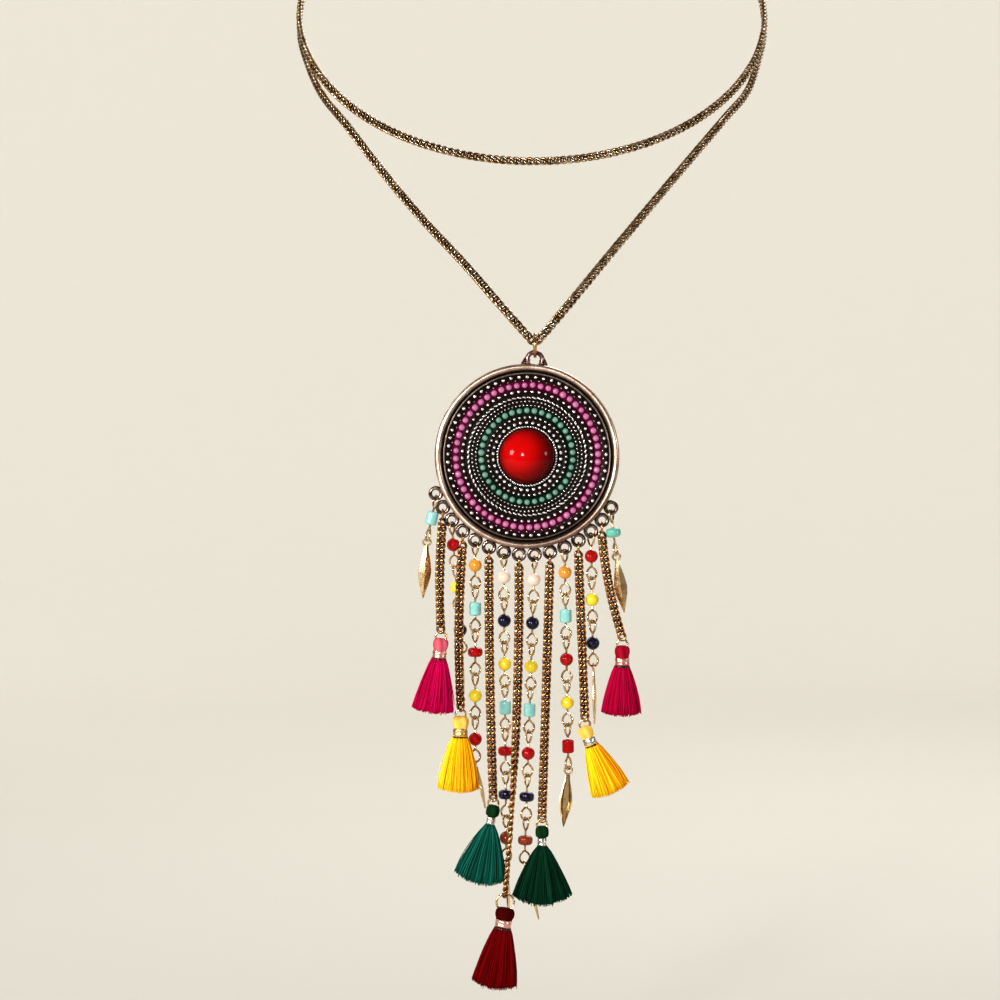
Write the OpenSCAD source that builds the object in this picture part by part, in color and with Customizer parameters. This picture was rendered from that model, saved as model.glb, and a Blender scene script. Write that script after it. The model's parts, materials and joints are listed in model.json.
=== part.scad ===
// Long tassel necklace: a curb chain worn as two turns, with a beaded medallion and a fringe.
// The origin is the middle of the inner turn. The front faces -Y and +Z is up.

/* [Neck chain] */
// Width of the inner turn from side to side
turn_w = 132.6; // [110:1:150]
// Depth of the inner turn from front to nape
turn_d = 116; // [96:1:130]
// Height from the front of the inner turn up to the nape
turn_rise = 99; // [70:1:110]
// Distance between the centres of the two turns where they lie side by side
turn_gap = 3.1; // [2.9:0.1:4]
// Distance of the pendant in front of the middle of the inner turn
drop_out = 88; // [80:1:100]
// Depth of the lowest point of the outer turn below the middle of the inner turn
drop_down = 99.4; // [90:0.2:120]
// Width of the neck chain
chain_w = 2.5; // [1.8:0.1:2.6]
// Thickness of the neck chain
chain_t = 2.2; // [1.4:0.1:2.4]

/* [Clasp] */
// Length of the clasp between its two end rings
clasp_l = 6; // [4:0.5:9]
// Diameter of the clasp
clasp_d = 2.8; // [2:0.1:3]
// Outer diameter of each end ring of the clasp
clasp_ring_d = 3; // [2.6:0.1:3.4]
// Wire diameter of these end rings
clasp_wire_d = 0.7; // [0.5:0.05:0.8]

/* [Bail ring] */
// Outer diameter of the ring that carries the medallion
bail_ring_d = 6.8; // [6.6:0.1:9]
// Wire diameter of that ring
bail_wire_d = 0.9; // [0.6:0.1:1.1]

/* [Medallion] */
// Outer diameter of the medallion
disc_d = 48; // [46:0.5:60]
// Height of the rim, front to back
rim_t = 4.2; // [3.6:0.1:6]
// Width of the round rim, seen from the front
rim_w = 1.7; // [1.4:0.1:2]
// Height of the floor of the disc above its back
floor_t = 2.2; // [1.6:0.1:2.6]
// Angle that the pendant leans by, clockwise seen from the front
lean = 4.6; // [-8:0.2:8]
// Diameter of the red cabochon
stone_d = 14.2; // [11:0.2:15]
// Height of the cabochon
stone_h = 4.4; // [3:0.1:6]
// Diameter of the middle line of the green beading
green_d = 23.8; // [22:0.2:25]
// Number of beads in the green beading
green_n = 38; // [30:1:44]
// Diameter of the middle line of the pink beading
pink_d = 37.0; // [36:0.2:38]
// Number of beads in the pink beading
pink_n = 56; // [46:1:64]
// Width of the coloured beads
bead_ring_w = 1.7; // [1.3:0.1:1.9]
// Diameter of the hole in the bail loop
bail_hole_d = 2.7; // [2.2:0.1:3.4]
// Outer diameter of the bail loop
bail_d = 5.2; // [4.6:0.1:6.4]
// Thickness of the bail loop, front to back
bail_t = 2; // [1.4:0.1:2.2]

/* [Eyelets] */
// Angle between neighbouring eyelets
eyelet_step = 9.03; // [8.8:0.05:10]
// Outer diameter of an eyelet
eyelet_d = 3.9; // [3.5:0.1:4.1]
// Diameter of the metal of an eyelet
eyelet_wire_d = 1; // [0.7:0.05:1.2]
// Distance of the eyelet centres outside the disc
eyelet_out = 1.6; // [1.5:0.05:1.7]

/* [Bead strands] */
// Diameter of a round bead
bead_d = 3.5; // [2.4:0.1:3.7]
// Width of a tube bead
tube_w = 3.1; // [2.2:0.1:3.4]
// Height of a tube bead
tube_h = 3.6; // [2.6:0.1:4.4]
// Width of a flat bead
flat_w = 3.9; // [2.8:0.1:4]
// Height of a flat bead
flat_h = 2.5; // [1.6:0.1:3]
// Diameter of the hole through a bead
bore_d = 0.8; // [0.75:0.05:1]
// Wire diameter of the looped pins
pin_wire_d = 0.54; // [0.4:0.02:0.56]
// Outer diameter of a pin loop
pin_loop_d = 3.5; // [3.2:0.1:4]
// Distance from bead to bead along a strand
bead_pitch = 11.3; // [10.6:0.1:13]

/* [Spikes] */
// Length of a leaf spike
spike_l = 14; // [9:0.5:20]
// Width of a leaf spike
spike_w = 3.5; // [2.6:0.1:4.4]
// Thickness of a leaf spike
spike_t = 1.4; // [1:0.1:2]
// Outer diameter of the eye of a spike
spike_eye_d = 2.5; // [2.3:0.1:3]

/* [Fringe chains] */
// Drop of the longest fringe chain from its eyelet
fringe_l = 87; // [84:0.5:92]
// Width of a fringe chain
drop_w = 2.6; // [1.8:0.1:2.8]
// Thickness of a fringe chain
drop_t = 1.8; // [1.2:0.1:2.2]
// Outer diameter of the small rings on a fringe chain
ring_d = 3.3; // [3:0.1:3.8]
// Outer diameter of the ring on the longest chain
big_ring_d = 5.1; // [4:0.1:6]
// Wire diameter of these rings
ring_wire_d = 0.6; // [0.4:0.05:0.65]

/* [Tassels] */
// Width of a tassel head
head_w = 3.9; // [3.4:0.1:4.6]
// Height of a tassel head
head_h = 3.1; // [2.6:0.1:4]
// Height by which a head reaches up over the wire of its ring
head_up = 1.1; // [0.8:0.1:1.2]
// Height of the crimp band under a head
band_h = 2.1; // [1.4:0.1:3]
// Wall of the crimp band
band_wall = 0.4; // [0.3:0.05:0.5]
// Length of a thread skirt
skirt_l = 14.6; // [10:0.2:20]
// Width of a thread skirt at its lower end
skirt_w = 13; // [9:0.2:16]
// Depth of a thread skirt at its lower end, front to back
skirt_d = 7; // [5:0.2:10]
// Number of locks round a skirt
skirt_locks = 11; // [8:1:12]

/* [Hidden] */
// Clearance between pieces that hang in each other
hang_gap = 0.12;
// Clearance between the neck chain and the bail ring as it swings
bail_gap = 0.25;
// Clearance round what sits in a seat
seat_gap = 0.1;
// Size by which the foot of the bail loop stands out at its sides and over the rim
bail_foot = 0.7;
// Depth by which the bail loop runs into the rim
bail_sink = 1.2;
// Length by which the clasp runs into each of its end rings
clasp_sink = 0.3;
// Depth by which raised shapes run into the floor of the disc
floor_sink = 0.1;
// Width of the lip round the stone
lip_w = 0.5;
// Height of that lip over the floor
lip_h = 0.8;
// Width of the thin ridge inside the rim
inner_ridge_w = 0.45;
// Height of that ridge over the floor
inner_ridge_h = 0.6;
// Distance from the rim to the inner side of that ridge
inner_ridge_in = 1.2;
// Depth of the seats for the beading
seat_depth = 0.5;
// Share of the width of the coloured beads that is left where two of them touch
bead_waist = 0.72;
// Length by which cutting shapes pass the surface that they cut
cut_over = 1;
// Share of a fringe chain's length that its first link takes
first_link = 0.06;
// Share of the chain's width that the first link has
first_link_w = 0.35;
// Rounding of a tube bead as a share of its width
tube_edge = 0.2;
// Rounding of a flat bead as a share of its height
flat_edge = 0.4;
// Wall of the eye of a spike
spike_eye_wall = 0.55;
// Thickness of the eye of a spike
spike_eye_t = 0.8;
// Depth by which the leaf of a spike runs into its eye
leaf_sink = 0.5;
// Share of the leaf's thickness that stays where the leaf narrows to nothing
leaf_least = 0.3;
// Share of a head's height that its round shoulder takes
shoulder_share = 0.42;
// Share of a head's height at which its straight side ends
side_share = 0.8;
// Share of a skirt's length by which its outer threads are shorter
skirt_bow = 0.07;
// Share of a skirt's length by which its locks differ
lock_uneven = 0.035;
// Step in degrees that gives each lock its own length
lock_phase = 137;
// Step in degrees that gives each tassel its own lengths
tassel_phase = 61;
// Sides of a swept chain
chain_sides = 8;
// Rings of each swept turn of the neck chain
turn_rings = 36;
// Rings of a swept fringe chain
drop_rings_n = 7;
// Angle behind each side where the two turns start to cross
cross_from = 140;
// Angle from the front where the outer turn leaves the inner turn's side
side_from = 76;
// Facets of true round shapes
$fn = 64;

// Route of the front of the outer turn, from the wearer's left side to the right.
// Columns of LEGS: share of half the turn's width, share of drop_out, share of drop_down
LEGS = [
    [0.9, -0.3, -0.27],
    [0.782, -0.466, -0.37],
    [0.618, -0.625, -0.503],
    [0.445, -0.767, -0.644],
    [0.279, -0.892, -0.78],
    [0.128, -0.977, -0.905],
    [0.036, -1, -0.978],
    [0, -1, -1],
    [-0.036, -1, -0.978],
    [-0.128, -0.977, -0.908],
    [-0.279, -0.892, -0.788],
    [-0.445, -0.77, -0.664],
    [-0.603, -0.639, -0.533],
    [-0.762, -0.489, -0.389],
    [-0.888, -0.31, -0.274],
];

// Columns of BEADS: eyelet, lean, lean back, spike lean, share of the spike's length, spike turn, beads,
// turn of the pins
BEADS = [
    [0, 12, 0, 4, 1, 0, ["aqua_tube"], 20],
    [2, -4.5, 8, 0, 1, 90, ["red_round", "yellow_round", "navy_round"], -25],
    [4, 0, 0, -12, 0.8, 90, ["orange_round", "aqua_tube", "red_flat", "yellow_round", "red_round"], 30],
    [6, -0.5, 0, -2, 1, 90,
        ["ivory_round", "navy_round", "yellow_round", "aqua_tube", "red_flat", "navy_flat", "amber_round"],
        -30],
    [8, 1.9, 0, -14, 1, 90,
        ["ivory_round", "navy_round", "yellow_round", "aqua_tube", "red_round", "navy_flat", "amber_flat"],
        25],
    [10, -1, 0, 5, 1, 0, ["orange_round", "aqua_tube", "red_round", "yellow_round", "red_tube"], -30],
    [12, -1, 0, -1, 1, 90, ["red_round", "yellow_round", "navy_round"], 30],
    [14, -7, 0, -8, 1, 0, ["green_flat"], -20],
];
// Columns of CHAINS: eyelet, then four shares of fringe_l: drop from the eyelet, shift of the lower end,
// sideways bow, forward shift
CHAINS = [
    [1, 0.3644, -0.0046, -0.0057, 0.0644],
    [3, 0.5264, -0.0057, -0.008, 0.0368],
    [5, 0.7414, 0.0126, -0.0034, 0.0529],
    [7, 1, -0.0414, 0.0115, 0.0851],
    [9, 0.7885, -0.0241, 0, 0.0575],
    [11, 0.5287, 0.0184, 0, 0.0299],
    [13, 0.3494, 0.0598, -0.0092, 0.0276],
];
// Columns of TASSELS: thread colour, lean, share of the width, share of the length, large ring or not,
// share of the head's width, share of the band's width
TASSELS = [
    ["magenta", 7, 0.88, 0.98, false, 1, 0.96],
    ["yellow", 2, 0.86, 1, false, 1.04, 1],
    ["green", 11, 1.1, 1.07, false, 0.86, 0.62],
    ["crimson", 9, 0.94, 1.09, true, 1.2, 1.1],
    ["green", 0, 1.24, 1.05, false, 0.86, 0.62],
    ["yellow", -23, 0.83, 0.94, false, 0.98, 0.9],
    ["magenta", 1, 0.84, 0.9, false, 1, 1],
];
// Columns of SKIRT: share of the length, share of the width's growth, depth of the lock grooves
SKIRT = [
    [0, 0, 0.02],
    [0.07, 0.12, 0.05],
    [0.25, 0.32, 0.07],
    [0.5, 0.57, 0.08],
    [0.75, 0.8, 0.09],
    [1, 1, 0.1],
];
// Columns of RIDGES: diameter of the ridge, width of the ridge
RIDGES = [[17.2, 0.7], [20.3, 0.7], [26.6, 0.7], [28.7, 0.7], [30.5, 0.9], [33.5, 0.9], [41.3, 1.2]];
// Columns of FINISH: bead name, shape, colour
FINISH = [
    ["aqua_tube", "tube", "#7dd7cd"],
    ["red_round", "round", "#c81414"],
    ["red_flat", "flat", "#c81414"],
    ["red_tube", "tube", "#b01218"],
    ["yellow_round", "round", "#fae132"],
    ["orange_round", "round", "#f5a528"],
    ["navy_round", "round", "#0f0a32"],
    ["navy_flat", "flat", "#0f0a32"],
    ["ivory_round", "round", "#fae1d7"],
    ["amber_round", "round", "#a03214"],
    ["amber_flat", "flat", "#c03a1c"],
    ["green_flat", "flat", "#5fb9a0"],
];
THREAD = [["magenta", "#c8005a"], ["yellow", "#fabe1e"], ["green", "#005f4b"], ["crimson", "#8c0005"]];

turn_x = turn_w / 2;
turn_y = turn_d / 2;
turn_z = turn_rise / 2;
plane_len = norm([turn_y, turn_z]);
// Unit vectors in the plane of the turns: outwards at the nape, and down across the plane
nape_out = [0, turn_y, turn_z] / plane_len;
plane_down = [0, turn_z, -turn_y] / plane_len;

// The lowest point of the outer turn, where the pendant hangs
LOW = [0, -drop_out, -drop_down];
LONG_ROUTE = [for (row = LEGS) [row[0] * turn_x, row[1] * drop_out, row[2] * drop_down]];

disc_r = disc_d / 2;
// Half the neck chain's section over its corners
chain_corner = max(chain_w, chain_t) / 2 / cos(180 / chain_sides);
bail_mid = (bail_ring_d - bail_wire_d) / 2;
bail_ring_z = LOW[2] + chain_corner + bail_gap + bail_wire_d / 2 - bail_mid;
// The place where the medallion hangs in the bail ring
HOOK = [LOW[0], LOW[1], bail_ring_z - bail_mid];
// Height by which the inside of the bail ring climbs over half the thickness of the bail loop
bail_inner = bail_mid - bail_wire_d / 2;
bail_climb = bail_inner - sqrt(bail_inner * bail_inner - bail_t * bail_t / 4);
bail_drop = bail_hole_d / 2 - bail_wire_d / 2 - hang_gap - bail_climb;
bail_out = disc_r + bail_d / 2 - bail_sink;
disc_down = bail_drop + bail_out;
CENTRE = HOOK - [sin(lean), 0, cos(lean)] * disc_down;

eyelet_mid = (eyelet_d - eyelet_wire_d) / 2;
eyelet_r = disc_r + eyelet_out;
last_eyelet = 14;
pin_mid = (pin_loop_d - pin_wire_d) / 2;
// Distance between the centres of two loops that hang in each other
loop_step = 2 * pin_mid - pin_wire_d - hang_gap;
pin_reach = (bead_pitch - loop_step) / 2;
first_bead = eyelet_wire_d / 2 + pin_wire_d / 2 + hang_gap - pin_mid - pin_reach;
ring_mid = (ring_d - ring_wire_d) / 2;
spike_eye_hole = spike_eye_d / 2 - spike_eye_wall;

// A step straight down
function down_by(z) = [0, 0, -z];
function eyelet(k) =
    let (a = 270 - lean + (k - last_eyelet / 2) * eyelet_step)
    CENTRE + [cos(a), 0, sin(a)] * eyelet_r;
function hook_of(k) = eyelet(k) + down_by(eyelet_mid);
function bead_name(i, j) = str("bead_", i + 1, "_", j + 1);
function row_of(table, name) = [for (row = table) if (row[0] == name) row][0];

// A ring of wire about Z
module torus(mid_r, wire_d) {
    rotate_extrude() translate([mid_r, 0]) circle(d = wire_d, $fn = 24);
}

// A wire ring seen face on from the front
module face_ring(mid_r, wire_d) {
    rotate([90, 0, 0]) torus(mid_r, wire_d);
}

// A wire ring seen edge on from the front
module edge_ring(mid_r, wire_d) {
    rotate([0, 90, 0]) torus(mid_r, wire_d);
}

// Puts its children in the pendant's own frame: the middle of the disc, with the disc's axis along Y
module in_disc() {
    translate(CENTRE) rotate([0, lean, 0]) children();
}

// Turns a profile of radius and height round the disc's axis, with the height towards the front
module turned() {
    rotate([90, 0, 0]) translate([0, 0, -rim_t / 2]) rotate_extrude() children();
}

// The middle of a ring of points
function middle(ring) = [for (i = [0:2]) [for (p = ring) p[i]] * [for (p = ring) 1] / len(ring)];

// One closed skin over rings of points that all have the same count, with a fan at each end
module skin(rings) {
    n = len(rings[0]);
    m = len(rings);
    points = concat([for (ring = rings) for (p = ring) p], [middle(rings[0]), middle(rings[m - 1])]);
    sides = [
        for (i = [0:m - 2]) for (j = [0:n - 1])
        let (a = i * n + j, b = i * n + (j + 1) % n)
        for (face = [[a, b, b + n], [a, b + n, a + n]]) face
    ];
    ends = [
        for (j = [0:n - 1])
        let (k = (j + 1) % n, foot = (m - 1) * n)
        for (face = [[k, j, m * n], [foot + j, foot + k, m * n + 1]]) face
    ];
    polyhedron(points, concat(sides, ends));
}

// The ring of an oval section at point i of a path
function section(path, i, up, w, t) =
    let (
        a = path[max(i - 1, 0)],
        b = path[min(i + 1, len(path) - 1)],
        along = (b - a) / norm(b - a),
        side = cross(along, up) / norm(cross(along, up)),
        top = cross(side, along)
    )
    [for (k = [0:chain_sides - 1])
        let (q = (k + 0.5) * 360 / chain_sides, f = 1 / cos(180 / chain_sides))
        path[i] + side * (w / 2 * f * cos(q)) + top * (t / 2 * f * sin(q))];

// A point on a smooth curve through the points of a list, with u counted in points
function smooth(points, u) =
    let (
        last = len(points) - 1,
        i = min(floor(u), last - 1),
        f = u - i,
        p0 = points[max(i - 1, 0)],
        p1 = points[i],
        p2 = points[i + 1],
        p3 = points[min(i + 2, last)]
    )
    (2 * p1 + (p2 - p0) * f + (2 * p0 - 5 * p1 + 4 * p2 - p3) * f * f
        + (3 * p1 - p0 - 3 * p2 + p3) * f * f * f) / 2;

// The twist of the two turns round each other at an angle from the front
function twist(a) = 90 * max(0, (abs(a) - cross_from) / (180 - cross_from));
function inner_point(a) =
    let (s = a < 0 ? 1 : -1, q = twist(a))
    [turn_x * sin(a), -turn_y * cos(a), -turn_z * cos(a)]
        + plane_down * (turn_gap / 2 * (1 - cos(q)))
        + nape_out * (s * turn_gap / 2 * sin(q));
function outer_point(a) =
    let (s = a < 0 ? 1 : -1, q = twist(a))
    [turn_x * sin(a), -turn_y * cos(a), -turn_z * cos(a)]
        + plane_down * (turn_gap / 2 * (1 + cos(q)))
        - nape_out * (s * turn_gap / 2 * sin(q));

// Half the angle at the nape that the clasp takes up
clasp_reach = clasp_l / 2 + clasp_ring_d + hang_gap;
clasp_angle = asin(clasp_reach / turn_x);
// Angle at the nape by which the end of the inner turn stays short of the end of the outer turn
join_angle = asin(2 * seat_gap / turn_x);

// The outer turn runs from the clasp, round the front and back to the nape
module neck_chain_long() {
    steps = 11;
    from = 180 - clasp_angle;
    start = [for (i = [0:steps]) outer_point(from - i * (from - side_from) / steps)];
    finish = [for (i = [0:steps]) outer_point(-side_from - i * (180 - side_from) / steps)];
    all = concat(start, LONG_ROUTE, finish);
    n = turn_rings;
    path = [for (i = [0:n]) smooth(all, i * (len(all) - 1) / n)];
    color("#b98a5a")
        skin([for (i = [0:n]) section(path, i, [0, 0, 1], chain_w, chain_t)]);
}

// The inner turn runs from the other end of the clasp, round the front to the nape
module neck_chain_short() {
    from = -180 + clasp_angle;
    span = 180 - join_angle - from;
    n = turn_rings;
    path = [for (i = [0:n]) inner_point(from + i * span / n)];
    color("#b98a5a")
        skin([for (i = [0:n]) section(path, i, [0, 0, 1], chain_w, chain_t)]);
}

// A plain closed clasp at the nape, with a ring at each end
module clasp() {
    color("#b98a5a") translate(outer_point(180)) {
        rotate([0, 90, 0]) cylinder(h = clasp_l + 2 * clasp_sink, d = clasp_d, center = true);
        for (s = [-1, 1]) translate([s * (clasp_l / 2 + clasp_ring_d / 2), 0, 0])
            face_ring((clasp_ring_d - clasp_wire_d) / 2, clasp_wire_d);
    }
}

module bail_ring() {
    color("#a87f55") translate([LOW[0], LOW[1], bail_ring_z]) edge_ring(bail_mid, bail_wire_d);
}

// The cast disc: rim, groove, raised ridges, seats for the beading and the stone, bail and eyelets
module medallion() {
    color("#8a6248") in_disc() {
        difference() {
            union() {
                turned() {
                    square([disc_r - rim_w / 2, floor_t]);
                    translate([disc_r - rim_w, rim_w / 2]) square([rim_w, rim_t - rim_w]);
                    for (h = [rim_w / 2, rim_t - rim_w / 2])
                        translate([disc_r - rim_w / 2, h]) circle(d = rim_w);
                    for (row = RIDGES) translate([row[0] / 2, floor_t]) circle(d = row[1], $fn = 24);
                    translate([stone_d / 2 + seat_gap, floor_t - floor_sink])
                        square([lip_w, lip_h + floor_sink]);
                    translate([disc_r - rim_w - inner_ridge_in, floor_t - floor_sink])
                        square([inner_ridge_w, inner_ridge_h + floor_sink]);
                }
                bail_loop();
            }
            turned() for (d = [green_d, pink_d])
                translate([(d - bead_ring_w) / 2 - seat_gap, floor_t - seat_depth])
                    square([bead_ring_w + 2 * seat_gap, seat_depth + cut_over]);
        }
        for (k = [0:last_eyelet]) rotate([0, -eyelet_turn(k), 0]) translate([eyelet_r, 0, 0])
            face_ring(eyelet_mid, eyelet_wire_d);
    }
}

function eyelet_turn(k) = 270 + (k - last_eyelet / 2) * eyelet_step;

// The half-round cast loop on top of the rim, with its hole front to back
module bail_loop() {
    difference() {
        union() {
            translate([0, 0, bail_out]) rotate([90, 0, 0])
                cylinder(h = bail_t, d = bail_d, center = true);
            translate([-bail_d / 2 - bail_foot, -bail_t / 2, disc_r - rim_w / 2])
                cube([bail_d + 2 * bail_foot, bail_t, rim_w / 2 + bail_foot]);
        }
        translate([0, 0, bail_out]) rotate([90, 0, 0])
            cylinder(h = bail_t + cut_over, d = bail_hole_d, center = true);
    }
}

// The stone is a low dome on a short straight girdle
module cabochon() {
    girdle = 1;
    dome_h = stone_h - girdle;
    dome_r = (pow(stone_d / 2, 2) + dome_h * dome_h) / (2 * dome_h);
    color("#d80c0c") in_disc() turned() translate([0, floor_t + seat_gap]) intersection() {
        translate([0, stone_h - dome_r]) circle(r = dome_r, $fn = 128);
        square([stone_d / 2, stone_h]);
    }
}

// A ring of touching beads in the disc, as one swept body whose width swells at each bead
module beading(ring_dia, count) {
    per_bead = 4;
    sides = 6;
    n = count * per_bead;
    rings = [for (i = [0:n - 1])
        let (a = i * 360 / n, w = bead_ring_w / 2 * (bead_waist + (1 - bead_waist) * cos(a * count)))
        [for (k = [0:sides - 1])
            let (q = k * 360 / sides, r = ring_dia / 2 + w * cos(q))
            [r * cos(a), r * sin(a), w * sin(q)]]];
    points = [for (ring = rings) for (p = ring) p];
    faces = [for (i = [0:n - 1]) for (k = [0:sides - 1])
        let (a = i * sides + k, b = i * sides + (k + 1) % sides, shift = sides,
            c = (a + shift) % (n * sides), d = (b + shift) % (n * sides))
        for (face = [[a, b, d], [a, d, c]]) face];
    lowest = bead_ring_w / 2 * sin(60);
    in_disc() translate([0, rim_t / 2 - floor_t + seat_depth - seat_gap - lowest, 0])
        rotate([90, 0, 0]) polyhedron(points, faces);
}

module green_beading() {
    color("#3c8c73") beading(green_d, green_n);
}

module pink_beading() {
    color("#d75aaa") beading(pink_d, pink_n);
}

// The small rings that hang the fringe chains in their eyelets
ring_top = eyelet_wire_d / 2 + ring_wire_d / 2 + hang_gap;
module eyelet_rings() {
    color("#6b4a33") for (row = CHAINS) translate(hook_of(row[0])) translate([0, 0, ring_top - ring_mid])
        edge_ring(ring_mid, ring_wire_d);
}

// The route of a fringe chain: from under its ring to its lower end
function drop_point(row, t) =
    let (
        top = eyelet(row[0]) + down_by(eyelet_mid + 2 * ring_mid - ring_top + ring_wire_d / 2 + hang_gap),
        foot = eyelet(row[0]) + down_by(row[1] * fringe_l),
        aside = fringe_l * (row[2] * t + row[3] * 4 * t * (1 - t)),
        fore = fringe_l * row[4] * (1 - (1 - t) * (1 - t))
    )
    [top[0] + aside, top[1] - fore, top[2] + (foot[2] - top[2]) * t];

// The first link of a fringe chain is seen edge on, so the chain starts narrow
module fringe_chain(row) {
    n = drop_rings_n;
    shares = [for (i = [0:n]) i == 0 ? 0 : i == 1 ? first_link : (i - 1) / (n - 1)];
    path = [for (t = shares) drop_point(row, t)];
    color("#b98a5a")
        skin([for (i = [0:n]) section(path, i, [0, 1, 0], i == 0 ? drop_w * first_link_w : drop_w, drop_t)]);
}

// A closed bead shape turned about Z, with its rounded edge and its bore
module bead_form(w, h, edge_r) {
    difference() {
        rotate_extrude() intersection() {
            translate([0, -h / 2]) square([w / 2, h]);
            union() {
                for (s = [-1, 1]) translate([w / 2 - edge_r, s * (h / 2 - edge_r)]) circle(r = edge_r);
                translate([0, -h / 2]) square([w / 2 - edge_r, h]);
                translate([0, -h / 2 + edge_r]) square([w / 2, h - 2 * edge_r]);
            }
        }
        cylinder(h = h + cut_over, d = bore_d, center = true);
    }
}

module bead_of(name) {
    finish = row_of(FINISH, name);
    color(finish[2]) {
        if (finish[1] == "tube") bead_form(tube_w, tube_h, tube_w * tube_edge);
        if (finish[1] == "flat") bead_form(flat_w, flat_h, flat_h * flat_edge);
        if (finish[1] == "round") difference() {
            sphere(d = bead_d);
            cylinder(h = bead_d + cut_over, d = bore_d, center = true);
        }
    }
}

// Puts its children at place j along bead strand i, in the strand's own leaning frame
module on_strand(row, j) {
    translate(hook_of(row[0])) rotate([row[2], row[1], 0]) translate([0, 0, first_bead - j * bead_pitch])
        children();
}

// A wire pin through a bead, with a loop at each end
module pin(last_edge) {
    cylinder(h = 2 * (pin_reach - pin_mid), d = pin_wire_d, center = true, $fn = 24);
    translate([0, 0, pin_reach]) edge_ring(pin_mid, pin_wire_d);
    translate([0, 0, -pin_reach]) {
        if (last_edge) edge_ring(pin_mid, pin_wire_d);
        else face_ring(pin_mid, pin_wire_d);
    }
}

module bead_pins() {
    color("#cfa873") for (row = BEADS) for (j = [0:len(row[6]) - 1])
        on_strand(row, j) rotate([0, 0, row[7]]) pin(j == len(row[6]) - 1 && row[5] == 0);
}

// A leaf spike: an eye and a long flat diamond with a ridge down each face
module spike(length) {
    leaf_top = -spike_eye_d / 2 + leaf_sink;
    rows = [[0, 0.3], [0.18, 0.42], [0.5, 1], [0.8, 0.55], [1, 0.1]];
    difference() {
        union() {
            rotate([90, 0, 0]) cylinder(h = spike_eye_t, d = spike_eye_d, center = true);
            skin([for (row = rows)
                let (
                    w = spike_w / 2 * row[1],
                    t = spike_t / 2 * (leaf_least + (1 - leaf_least) * row[1]),
                    z = leaf_top - row[0] * length
                )
                [[w, 0, z], [0, t, z], [-w, 0, z], [0, -t, z]]]);
        }
        rotate([90, 0, 0]) cylinder(h = spike_t + cut_over, r = spike_eye_hole, center = true);
    }
}

module spikes() {
    color("#c9a26a") for (row = BEADS) on_strand(row, len(row[6]) - 1)
        translate([0, 0, -pin_reach - pin_mid]) rotate([-row[2], row[3] - row[1], 0])
            translate([0, 0, pin_wire_d / 2 + hang_gap - spike_eye_hole]) rotate([0, 0, row[5]])
                spike(spike_l * row[4]);
}

function tassel_ring_d(i) = TASSELS[i][4] ? big_ring_d : ring_d;
function tassel_mid(i) = (tassel_ring_d(i) - ring_wire_d) / 2;
function tassel_ring_at(i) = drop_point(CHAINS[i], 1) + down_by(hang_gap + tassel_ring_d(i) / 2);

module tassel_rings() {
    color("#c9a26a") for (i = [0:len(TASSELS) - 1]) translate(tassel_ring_at(i))
        face_ring(tassel_mid(i), ring_wire_d);
}

// Puts its children in a tassel's leaning frame, with its origin at the top of the head
module in_tassel(i) {
    translate(tassel_ring_at(i) + down_by(tassel_mid(i))) rotate([0, TASSELS[i][1], 0])
        translate([0, 0, head_up]) children();
}

function band_d(i) = head_w * TASSELS[i][6];
function neck_r(i) = band_d(i) / 2 - band_wall - seat_gap;
band_z = -head_h;
skirt_z = -head_h - band_h - 2 * seat_gap;
// Depth by which the neck sinks into the skirt
neck_sink = 0.8;

// The head round its ring, the neck inside the band and the skirt of locks
module tassel(i) {
    row = TASSELS[i];
    head_r = head_w * row[5] / 2;
    shoulder = head_h * shoulder_share;
    color(row_of(THREAD, row[0])[1]) union() {
        difference() {
            in_tassel(i) rotate_extrude() polygon(concat(
                [[0, 0]],
                [for (a = [15:15:90]) [head_r * sin(a), -shoulder * (1 - cos(a))]],
                [[head_r, -head_h * side_share], [neck_r(i) + seat_gap, band_z], [neck_r(i), band_z]],
                [[neck_r(i), skirt_z - neck_sink], [0, skirt_z - neck_sink]]
            ));
            translate(tassel_ring_at(i)) face_ring(tassel_mid(i), ring_wire_d + 2 * hang_gap);
        }
        in_tassel(i) skirt(skirt_w * row[2], skirt_l * row[3], band_d(i) / 2, i);
    }
}

// A skirt of thread locks that opens downwards, wider than it is deep
module skirt(w, length, top_r, seed) {
    per_lock = 3;
    n = skirt_locks * per_lock;
    skin([for (row = SKIRT)
        [for (k = [0:n - 1])
            let (
                a = k * 360 / n,
                groove = 1 - row[2] * (k % per_lock == 0 ? 1 : 0),
                rx = (top_r + (w / 2 - top_r) * row[1]) * groove,
                ry = (top_r + (skirt_d / 2 - top_r) * row[1]) * groove,
                uneven = lock_uneven * sin(floor(k / per_lock) * lock_phase + seed * tassel_phase) * row[0],
                drop = row[0] * (1 - skirt_bow * pow(cos(a), 2)) + uneven
            )
            [rx * cos(a), ry * sin(a), skirt_z - length * drop]]]);
}

module crimp_bands() {
    color("#d9c3b2") for (i = [0:len(TASSELS) - 1]) in_tassel(i) translate([0, 0, skirt_z + seat_gap])
        difference() {
            cylinder(h = band_h, d = band_d(i));
            translate([0, 0, -cut_over]) cylinder(h = band_h + 2 * cut_over, r = neck_r(i) + seat_gap);
        }
}

neck_chain_long();
neck_chain_short();
clasp();
bail_ring();
medallion();
cabochon();
green_beading();
pink_beading();
eyelet_rings();
tassel_rings();
crimp_bands();
bead_pins();
spikes();
for (i = [0:len(CHAINS) - 1])
    fringe_chain(CHAINS[i]);
for (i = [0:len(TASSELS) - 1])
    tassel(i);
for (i = [0:len(BEADS) - 1]) for (j = [0:len(BEADS[i][6]) - 1])
    on_strand(BEADS[i], j) bead_of(BEADS[i][6][j]);
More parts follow.
